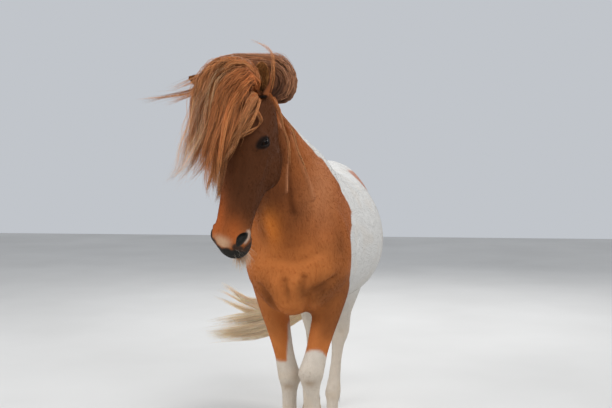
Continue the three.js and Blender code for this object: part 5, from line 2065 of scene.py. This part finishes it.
def hoop(rings: Array) -> Surface:
    """A closed ring-shaped surface that faces out: rings of points whose last joins the first.

    Args:
        rings: the rings, an array of shape (rings, points, 3).

    Returns:
        The surface.
    """
    rows, columns = rings.shape[:2]
    around = np.concatenate([rings, rings[:1]])
    faces = grid_faces(rows + 1, columns, True) % (rows * columns)
    surface = Surface(around[:-1].reshape(-1, 3), [faces])
    middle = rings.mean(axis=1)[:, None]
    out = np.sum(surface.normals().reshape(rings.shape) * (rings - middle))
    return surface if out > 0 else Surface(surface.points, [faces[:, ::-1]])


@dataclass(frozen=True)
class Eyes:
    """Both eyes: ball, rims of the lids, and lashes. Lengths are in millimetres.

    Attributes:
        ball: the ball's radius.
        bulge: how far the clear front stands out, as a share of that.
        pupil: half the pupil's width and height.
        iris: the iris's radius.
        rim: the half thickness of the bare rim of the lids.
        lashes: lashes on each upper lid.
    """

    ball: float = EYE_RADIUS
    bulge: float = 0.02
    pupil: tuple[float, float] = (6.4, 4.2)
    iris: float = 13.5
    rim: float = 1.5
    lashes: int = 70

    def eyeball(self, side: int) -> tuple[Surface, Array]:
        """The ball with its clear bulge, and its colours: oval pupil, dark brown iris, darker edge.

        Args:
            side: the left eye (1) or the right (-1).

        Returns:
            The surface and the colour at each point.
        """
        latitude = np.linspace(0.01, np.pi - 0.01, 60)
        bulge = 1 + self.bulge * ease(0.72, 0.0, latitude)[:, None, None]
        surface = tube(EYE.placed(globe(latitude, 72) * self.ball * bulge, side))
        q = EYE.local(in_head(surface.points), side)
        black = ease(0.85, 1.1, np.hypot(q[:, 0] / self.pupil[0], q[:, 1] / self.pupil[1]))[:, None]
        ring = np.hypot(q[:, 0], q[:, 1]) / self.iris
        turn = np.arctan2(q[:, 1], q[:, 0])
        spokes = 0.25 * noise(np.stack([turn * 5, ring * 2, 0 * ring], -1), 0.5, 30)
        iris = tone(28, 17, 11) * (1 + spokes)[:, None] * (1 - 0.55 * ease(0.8, 1.0, ring))[:, None]
        colour = iris * black + tone(7, 8, 9) * (1 - black)
        return surface, colour + ease(0.97, 1.04, ring)[:, None] * (tone(20, 13, 10) - colour)

    def over(self, edge: Array, gap: float) -> Array:
        """Points along and across, with the height that puts them a gap outside the ball."""
        high = np.sqrt(np.maximum((self.ball + gap) ** 2 - np.sum(edge**2, axis=1), 30.0))
        return np.concatenate([edge, high[:, None]], axis=1)

    def lids(self, side: int) -> Surface:
        """The bare rims of the lids: a thin round hoop on the almond's edge, lying on the ball.

        Args:
            side: the left eye (1) or the right (-1).

        Returns:
            The hoop.
        """
        edge = EYE.edge(2 * np.pi * np.arange(96) / 96)
        line = self.over(edge, 1.4)
        heading = unit(np.roll(line, -1, axis=0) - np.roll(line, 1, axis=0))
        out = unit(line)[:, None]
        across = np.cross(heading, unit(line))[:, None]
        turn = (2 * np.pi * np.arange(10) / 10)[None, :, None]
        radius = self.rim * (1 + 0.3 * (edge[:, 1] < 0))[:, None, None]
        ring = np.cos(turn) * across * 1.3 + np.sin(turn) * out
        return hoop(EYE.placed(line[:, None] + radius * ring, side))

    def hairs(self, side: int) -> Strands:
        """Lashes on the upper lid: they leave its edge and curve up and out.

        Args:
            side: the left eye (1) or the right (-1).

        Returns:
            The lashes.
        """
        rng = np.random.default_rng(60 + side)
        root = self.over(EYE.edge(rng.uniform(1.12, 1.88, self.lashes) * np.pi), 2.6)
        out = unit(root * [0.5, 0.4, 1] + rng.normal(0, 2.5, root.shape))
        level = 0 * root[:, 0]
        lift = np.stack([0.25 * root[:, 0] / EYE.half, level - 1, level + 0.2], -1)
        long = rng.uniform(9, 17, self.lashes)[:, None, None]
        share = np.linspace(0, 1, 6)[None, :, None]
        local = root[:, None] + long * (share * out[:, None] * 0.8 + 0.35 * share**2 * lift[:, None])
        dark = np.broadcast_to(tone(40, 26, 18), (self.lashes, 3))
        return Strands(EYE.placed(local, side), np.full(self.lashes, 0.35 * MM), dark, dark, seed=61 + side)

    def build(self) -> None:
        """Puts both eyes and the rims of their lids in place."""
        wet, bare = Wet().material(), Bare().material()
        for name, side in (("left", 1), ("right", -1)):
            surface, colour = self.eyeball(side)
            show(f"eyeball_{name}", surface, colour, None, wet, [f"eye_{name}"])
        rims = Surface.joined([self.lids(side) for side in (1, -1)])
        colour = np.broadcast_to(tone(22, 16, 13), rims.points.shape)
        show("lid_rims", rims, colour, REGIONS.of_faces(rims), bare)


@dataclass(frozen=True)
class Ear:
    """One ear: a cup of skin, open along its front, with fur inside.

    Attributes:
        name: which ear.
        root: where it stands, in the head's frame, in millimetres.
        axis: the way it points, in the horse's frame.
        open: the way its cup faces, in the horse's frame.
        length: its length, in millimetres.
        sections: share of the length, half width, depth of the cup and half its wall's angle, in degrees.
        wall: the wall's thickness, in millimetres.
        grid: rings along it, and points on each arc.
        hairs: how many hairs inside, and as many outside.
    """

    name: str
    root: Three
    axis: Three
    open: Three
    length: float = 118.0
    sections: Rows = (
        (-0.14, 21, 17, 174), (0.06, 27, 19, 146), (0.22, 32, 19, 126), (0.42, 33, 17, 114),
        (0.62, 31, 13, 106), (0.80, 23, 9, 98), (0.92, 12.5, 5.5, 92), (1.0, 3, 3.0, 90),
    )
    wall: float = 3.2
    grid: tuple[int, int] = (40, 26)
    hairs: int = 700

    @cached_property
    def frame(self) -> Frame:
        """The ear's frame: across, open and along."""
        along = unit(np.array(self.axis))
        facing = np.array(self.open)
        facing = unit(facing - (facing @ along) * along)
        axes = np.stack([np.cross(facing, along), facing, along])
        return Frame(HEAD.frame.out(np.array(self.root) * MM), axes)

    @cached_property
    def arcs(self) -> list[Array]:
        """The outer and inner arcs of all rings, in the ear's frame, in millimetres.

        An arc runs through angles from minus to plus its half angle round the back of the cup: half width x
        sine across and minus depth x cosine towards the opening. The tip leans a little inwards.
        """
        rings, points = self.grid
        rows = np.array(self.sections)
        place = np.linspace(0, len(rows) - 1, rings)
        share, wide, deep, angle = (glide(rows[:, k], place)[:, None] for k in range(4))
        turn = np.radians(angle) * np.linspace(-1, 1, points)[None]
        sine, cosine = np.sin(turn), np.cos(turn)
        widest = np.where(angle > 90, 1.0, np.sin(np.radians(angle)))
        lean = -5 * ease(0.5, 1.0, share)
        high = share * self.length + 0 * turn
        insets = (0 * wide, np.minimum(self.wall, 0.45 * wide))
        across = [(wide - inset) * sine / widest + lean for inset in insets]
        back = [-(deep - inset) * cosine * 1.15 + 2 for inset in insets]
        return [np.stack([x, y, high], -1) for x, y in zip(across, back)]

    def surface(self) -> Surface:
        """The cup as a closed surface: out along the outer arc and back along the inner."""
        outer, inner = self.arcs
        ring = np.concatenate([outer, inner[:, ::-1]], axis=1)
        return tube(self.frame.out(ring * MM))

    def colours(self) -> Array:
        """The cup's colours: chestnut outside, dark and thinly furred inside, with a dark edge."""
        rings, points = self.grid
        inside = np.tile(np.r_[np.zeros(points), np.ones(points)], rings)
        share = np.repeat(np.linspace(0, 1, rings), 2 * points)
        edge = np.tile(np.abs(np.linspace(-1, 1, points)), 2 * rings) ** 8
        colour = np.where(inside[:, None] > 0, tone(128, 80, 38), tone(128, 70, 34))
        dark = np.maximum(0.75 * inside * ease(0.75, 0.1, share), 0.7 * edge)[:, None]
        colour = colour + dark * (tone(40, 26, 18) - colour)
        return np.concatenate([colour, np.full((2, 3), 0.05)])

    def fur(self, seed: int) -> list[Strands]:
        """Fur in the cup that lies along it and leans to the opening, and short fur up the outside.

        Args:
            seed: which arrangement.

        Returns:
            The hairs inside and those outside.
        """
        rng = np.random.default_rng(seed)
        count = self.hairs
        outer, inner = self.arcs
        last = self.grid[1] - 1
        made = []
        for arc, top, lean, long, roots, tips in (
            (inner, 35, 0.45, (14, 30), tone(78, 44, 22), tone(188, 126, 70)),
            (outer, 38.5, -0.10, (6, 10), tone(130, 70, 34), tone(168, 98, 50)),
        ):
            row, column = rng.uniform(3, top, count), rng.uniform(0.0, last, count)
            i, j = row.astype(int), np.minimum(column.astype(int), last - 1)
            a, b = (row - i)[:, None], (column - j)[:, None]
            root = (arc[i, j] * (1 - a) * (1 - b) + arc[i + 1, j] * a * (1 - b)
                    + arc[i, j + 1] * (1 - a) * b + arc[i + 1, j + 1] * a * b)
            way = np.array([0, lean, 1.0]) + rng.normal(0, 0.12, root.shape)
            way[:, 0] -= 0.25 * np.sign(root[:, 0]) * (lean > 0)
            size = rng.uniform(*long, count) * np.minimum(1, 1.4 - root[:, 2] / self.length)
            share = np.linspace(0, 1, 4)[None, :, None]
            path = root[:, None] + size[:, None, None] * share * unit(way)[:, None]
            path = self.frame.out(path.reshape(-1, 3) * MM).reshape(path.shape)
            shade = rng.uniform(0.45, 1.25, (count, 1))
            made.append(Strands(path, np.full(count, 0.7 * MM), roots * shade, tips * shade, 0.4, seed))
        return made

    def build(self, hide: bpy.types.Material, short: bpy.types.Material) -> None:
        """Makes the cup and its fur.

        Args:
            hide: the cup's finish.
            short: the fur's finish.
        """
        cup = self.surface()
        show(f"cup_{self.name}", cup, self.colours(), REGIONS.of_faces(cup), hide, [self.name])
        show_hair(f"fur_{self.name}", self.fur(70 + len(self.name)), short)


EARS = (
    Ear("ear_left", (54, 2, 14), (-0.14, 0.34, 1.0), (0.05, -1.0, 0.1), 112.0),
    Ear("ear_right", (-76, -6, 4), (-0.955, 0.0, 0.31), (-0.1, -1.0, -0.4), 161.0),
)


@dataclass(frozen=True)
class Hoof:
    """A hoof with growth rings, a hollowed sole, and the long hair of the fetlock.

    Attributes:
        limb: the leg it stands under.
        rings: faint ridges from the hair line to the floor.
        hairs: how many hairs the fetlock and the hair line have.
    """

    limb: Limb
    rings: int = 9
    hairs: int = 620

    def surface(self) -> Surface:
        """The wall as rings that slant from sole to hair line, and the sole as rings drawn in and up."""
        wide, long = self.limb.hoof
        y, z = self.limb.coronet[1:]
        half = long / 2
        walls = np.array([
            (half, 0, 0, wide, half, half - 8), (half + 4, 14, 0.05, wide - 2, half - 4, half - 7),
            (half + 17, 42, 0.2, wide - 8, half - 12, half - 13), (y, z - 6, 0.36, 42, 43, 42),
            (y + 1, z + 1, 0.36, 37, 38, 37),
        ])
        place = np.linspace(0, len(walls) - 1, 41)
        rows = glide(walls, place)
        ridge = 0.7 * np.maximum(np.sin(2 * np.pi * self.rings * place / 4), 0) ** 2 * ease(4, 3.4, place)
        rows[:, 3:] += ridge[:, None]
        sole = np.array([[half, 0, 0, wide, half, half - 8]] * 3) * [1, 1, 1, 0, 0, 0]
        sole[:, 3:] = walls[0, 3:] * np.array([0.30, 0.78, 0.90])[:, None]
        sole[:, 1] = (5.0, 5.0, 0.4)
        rows = np.concatenate([sole, rows])
        angle = 2 * np.pi * np.arange(64) / 64
        c, s = np.cos(angle)[None], np.sin(angle)[None]
        bend = 2 / np.where(s > 0, 2.0, 2.4)
        middle, high, tilt, wide, front, back = (rows[:, k, None] for k in range(6))
        across = np.sign(c) * np.abs(c) ** bend * wide
        reach = np.sign(s) * np.abs(s) ** bend * np.where(s > 0, front, back)
        ring = np.stack([across, middle - np.cos(tilt) * reach, high + np.sin(tilt) * reach], -1)
        return tube(self.limb.foot.out(ring * MM))

    def colours(self, surface: Surface) -> Array:
        """Pale horn with darker streaks down it, and greyer at the floor.

        Args:
            surface: the hoof's surface.

        Returns:
            One colour for each point.
        """
        local = self.limb.foot.within(surface.points) / MM
        turn = np.arctan2(local[:, 0], local[:, 1] - self.limb.hoof[1] / 2)
        streak = noise(np.stack([turn * 6, 0.01 * local[:, 2], 0 * turn], -1), 1.0, 80)
        colour = tone(176, 152, 122) * (1 + 0.16 * streak)[:, None]
        colour = colour + (0.5 * ease(16, 0, local[:, 2]))[:, None] * (tone(120, 106, 90) - colour)
        return colour + (0.4 * ease(-0.2, 0.7, streak))[:, None] * (tone(118, 92, 68) - colour)

    def feather(self, seed: int) -> Strands:
        """The long hair behind the fetlock, and the fringe that falls over the hair line of the hoof.

        Args:
            seed: which arrangement.

        Returns:
            The hairs.
        """
        rng = np.random.default_rng(seed)
        count = self.hairs
        foot = self.limb.foot
        fetlock, coronet = np.array(self.limb.fetlock, float), np.array(self.limb.coronet, float)
        fringe = rng.random(count) < 0.55
        turn = rng.uniform(0, 2 * np.pi, count)
        c, s = np.cos(turn), np.sin(turn)
        ring = coronet + np.stack([39 * c, 40 * s, 3 - 15 * s], -1)
        ring[:, 2] += rng.uniform(0, 9, count)
        side = rng.uniform(-1, 1, count)
        level = 0 * side
        tuft = fetlock + np.stack([24 * side, 26 + 8 * (1 - side**2), rng.uniform(-22, 26, count)], -1)
        root = np.where(fringe[:, None], ring, tuft)
        out = np.where(fringe[:, None], np.stack([c, s, level - 1.9], -1),
                       np.stack([0.35 * side, level + 1.0, level - 1.1], -1))
        out = unit(out + rng.normal(0, 0.12, root.shape))
        long = np.where(fringe, rng.uniform(14, 26, count), rng.uniform(30, 62, count))[:, None, None]
        share = np.linspace(0, 1, 6)[None, :, None]
        bend = share * out[:, None] + 0.5 * share**2 * (np.array([0, 0.1, -1.0]) - out[:, None])
        path = foot.out(((root - 2 * out)[:, None] + long * bend).reshape(-1, 3) * MM).reshape(count, 6, 3)
        path[..., 2] = np.maximum(path[..., 2], 0.002)
        shade = rng.uniform(0.88, 1.05, (count, 1))
        white = tone(*MARKINGS.pale)
        width = rng.uniform(0.8, 1.3, count) * MM
        return Strands(path, width, white * shade * 0.86, white * shade, seed=seed)


@dataclass(frozen=True)
class Feet:
    """The four hooves and their feathers."""

    def build(self, hair: bpy.types.Material) -> None:
        """Puts the hooves and the feathers in place."""
        horn = Horn().material()
        feathers = []
        for k, (name, limb) in enumerate(LIMBS.items()):
            hoof = Hoof(limb)
            surface = hoof.surface()
            show(f"horn_{name}", surface, hoof.colours(surface), REGIONS.of_faces(surface), horn,
                 [f"hoof_{name}"])
            feathers.append(hoof.feather(90 + k))
        show_hair("feathers", feathers, hair)


@dataclass(frozen=True)
class Chin:
    """The hair round the mouth.

    Attributes:
        beard: how many hairs hang from the chin.
        whiskers: how many stand out of the lips and round the nostrils.
    """

    beard: int = 560
    whiskers: int = 80

    @staticmethod
    def strands(root: Array, way: Array, long: Array, sag: Array, width: float, colours: Sequence[Array],
                seed: int) -> Strands:
        """Hairs of the muzzle: root + length x (share x way + share squared x sag).

        Args:
            root: where they stand, in millimetres of the head's frame before the muzzle was bent.
            way: the way each one starts.
            long: how long each one is.
            sag: the way they bend.
            width: half a hair's width, in millimetres.
            colours: their colours at root and tip.
            seed: which turns about their own lines they have.

        Returns:
            The strands.
        """
        share = np.linspace(0, 1, 6)[None, :, None]
        path = bent(root[:, None] + long[:, None, None] * (share * way[:, None] + share**2 * sag))
        path = HEAD.frame.out(path.reshape(-1, 3) * MM).reshape(path.shape)
        return Strands(path, np.full(len(root), width * MM), *colours, seed=seed)

    def hairs(self) -> list[Strands]:
        """Pale chin hair that hangs down and back, and sparse thin whiskers that stand out of the muzzle."""
        rng = np.random.default_rng(95)
        turn, far = rng.uniform(0, 2 * np.pi, self.beard), np.sqrt(rng.random(self.beard))
        x, z = far * np.cos(turn), far * np.sin(turn)
        root = np.stack([26 * x, -80 - 3 * far + 10 * x**2 + 10 * np.maximum(z, 0) ** 2, 538 + 32 * z], -1)
        way = unit(np.array([0.0, -0.42, 0.75]) + rng.normal(0, 0.22, root.shape) + root * [0.014, 0, 0])
        long = rng.uniform(18, 54, self.beard)
        shade = rng.uniform(0.85, 1.1, (self.beard, 1))
        colours = (tone(206, 160, 120) * shade, tone(232, 214, 190) * shade)
        beard = self.strands(root, way, long, 0.3 * np.array([0, -0.3, 1.0]), 0.6, colours, 96)
        side = np.where(rng.random(self.whiskers) < 0.5, -1, 1)
        along, high = rng.uniform(500, 574, self.whiskers), rng.uniform(-70, 6, self.whiskers)
        wide = 46 - 0.004 * (along - 510) ** 2 - 0.004 * (high + 30) ** 2
        root = np.stack([side * wide, high, along], -1)
        way = np.stack([side * 0.9, 0.004 * (high + 30), 0.5 + 0 * high], -1)
        way = unit(way + rng.normal(0, 0.25, root.shape))
        long = rng.uniform(14, 46, self.whiskers)
        grey = np.broadcast_to(tone(190, 174, 158), (self.whiskers, 3))
        return [beard, self.strands(root, way, long, 0.25 * np.array([0, -0.2, 1.0]), 0.22, (grey, grey), 97)]


@dataclass(frozen=True)
class Studio:
    """The pale floor, the soft light and the camera.

    Attributes:
        stand: where the camera stands, in the horse's modelling frame.
        pitch: how far it looks down, in degrees.
        yaw: how far it is turned to the left, in degrees.
        roll: how far it is tipped, in degrees.
        focal: its focal length, in pixels.
        width: the picture's width, in pixels.
        sensor: the sensor's width, in millimetres.
        middle: what the lamps face.
        lamps: name, place, size in metres and power in watts.
        sky: the colour of the light from all round.
        glow: its strength.
    """

    stand: Three = (0.592, -3.89, 1.325)
    pitch: float = 2.6
    yaw: float = 9.2
    roll: float = 0.2
    focal: float = 850.0
    width: float = 612.0
    sensor: float = 36.0
    middle: Three = (0, -0.2, 0.9)
    lamps: tuple[tuple, ...] = (
        ("sky_left", (3.0, -2.6, 5.0), 3.6, 170), ("sky_right", (-4.2, -3.0, 3.8), 3.2, 150),
        ("sky_back", (0.6, 4.5, 4.4), 3.6, 150),
    )
    sky: tuple[float, float, float, float] = (0.86, 0.90, 0.96, 1)
    glow: float = 0.62

    def camera(self) -> None:
        """Makes the camera and gives it to the scene."""
        lens = bpy.data.cameras.new("camera")
        lens.sensor_width = self.sensor
        lens.lens = self.focal / self.width * self.sensor
        camera = bpy.data.objects.new("camera", lens)
        camera.location = Vector(np.array(self.stand) + PLACE)
        turn = [math.radians(angle) for angle in (90 - self.pitch, self.roll, self.yaw)]
        camera.rotation_euler = Euler(turn, "XYZ")
        bpy.context.scene.collection.objects.link(camera)
        bpy.context.scene.camera = camera

    def lamp(self, name: str, at: Sequence[float], size: float, power: float) -> None:
        """A square soft lamp that faces the horse's middle.

        Args:
            name: its name.
            at: where it hangs.
            size: the length of its sides, in metres.
            power: its power, in watts.
        """
        light = bpy.data.lights.new(name, "AREA")
        light.size, light.energy = size, power
        lamp = bpy.data.objects.new(name, light)
        lamp.location = at
        lamp.rotation_euler = (Vector(self.middle) - Vector(at)).to_track_quat("-Z", "Y").to_euler()
        bpy.context.scene.collection.objects.link(lamp)

    def floor(self) -> None:
        """A wide pale floor, faintly mottled."""
        corners = 12.0 * np.array([[-1, -1, 0], [1, -1, 0], [1, 1, 0], [-1, 1, 0]])
        mesh = Surface(corners, [np.array([[0, 1, 2, 3]])]).mesh("floor")
        s = Shader("pale_floor")
        stops = ((0.3, (0.60, 0.59, 0.57)), (0.7, (0.66, 0.65, 0.63)))
        colour = s.node("ShaderNodeValToRGB", {"stops": stops}, {"Fac": s.mottle(0.8)})
        mesh.materials.append(s.finish(Base_Color=colour, Roughness=0.85))
        floor = bpy.data.objects.new("floor", mesh)
        bpy.context.scene.collection.objects.link(floor)

    def build(self) -> None:
        """Floor, light, world and camera."""
        self.floor()
        for lamp in self.lamps:
            self.lamp(*lamp)
        world = bpy.data.worlds.new("pale")
        world.use_nodes = True
        background = world.node_tree.nodes["Background"].inputs
        background["Color"].default_value = self.sky
        background["Strength"].default_value = self.glow
        bpy.context.scene.world = world
        bpy.context.scene.view_settings.view_transform = "Standard"
        self.camera()


def main() -> None:
    """Builds the horse piece by piece, then the studio."""
    logging.basicConfig(level=logging.INFO, format="%(name)s %(message)s")
    hide = Hide().material()
    skin = Skin().build()
    legs = [f"leg_{name}_{part}" for name in LIMBS for part in ("upper", "lower")]
    flesh = ["torso", "neck", "head", *legs]
    show("skin", skin, MARKINGS.coat(skin.points), REGIONS.of_faces(skin), hide, flesh)
    long_hair, short_hair = Hair("long_hair").material(), Hair("short_hair", 0.7, 0.10).material()
    eyes = Eyes()
    eyes.build()
    for ear in EARS:
        ear.build(hide, short_hair)
    Feet().build(short_hair)
    muzzle = Chin().hairs()
    show_hair("lashes_and_whiskers", [eyes.hairs(1), eyes.hairs(-1), *muzzle], short_hair)
    for hairs in HAIRS:
        hairs.build(long_hair)
    Coat().build(skin, short_hair)
    Studio().build()


if __name__ == "__main__":
    main()
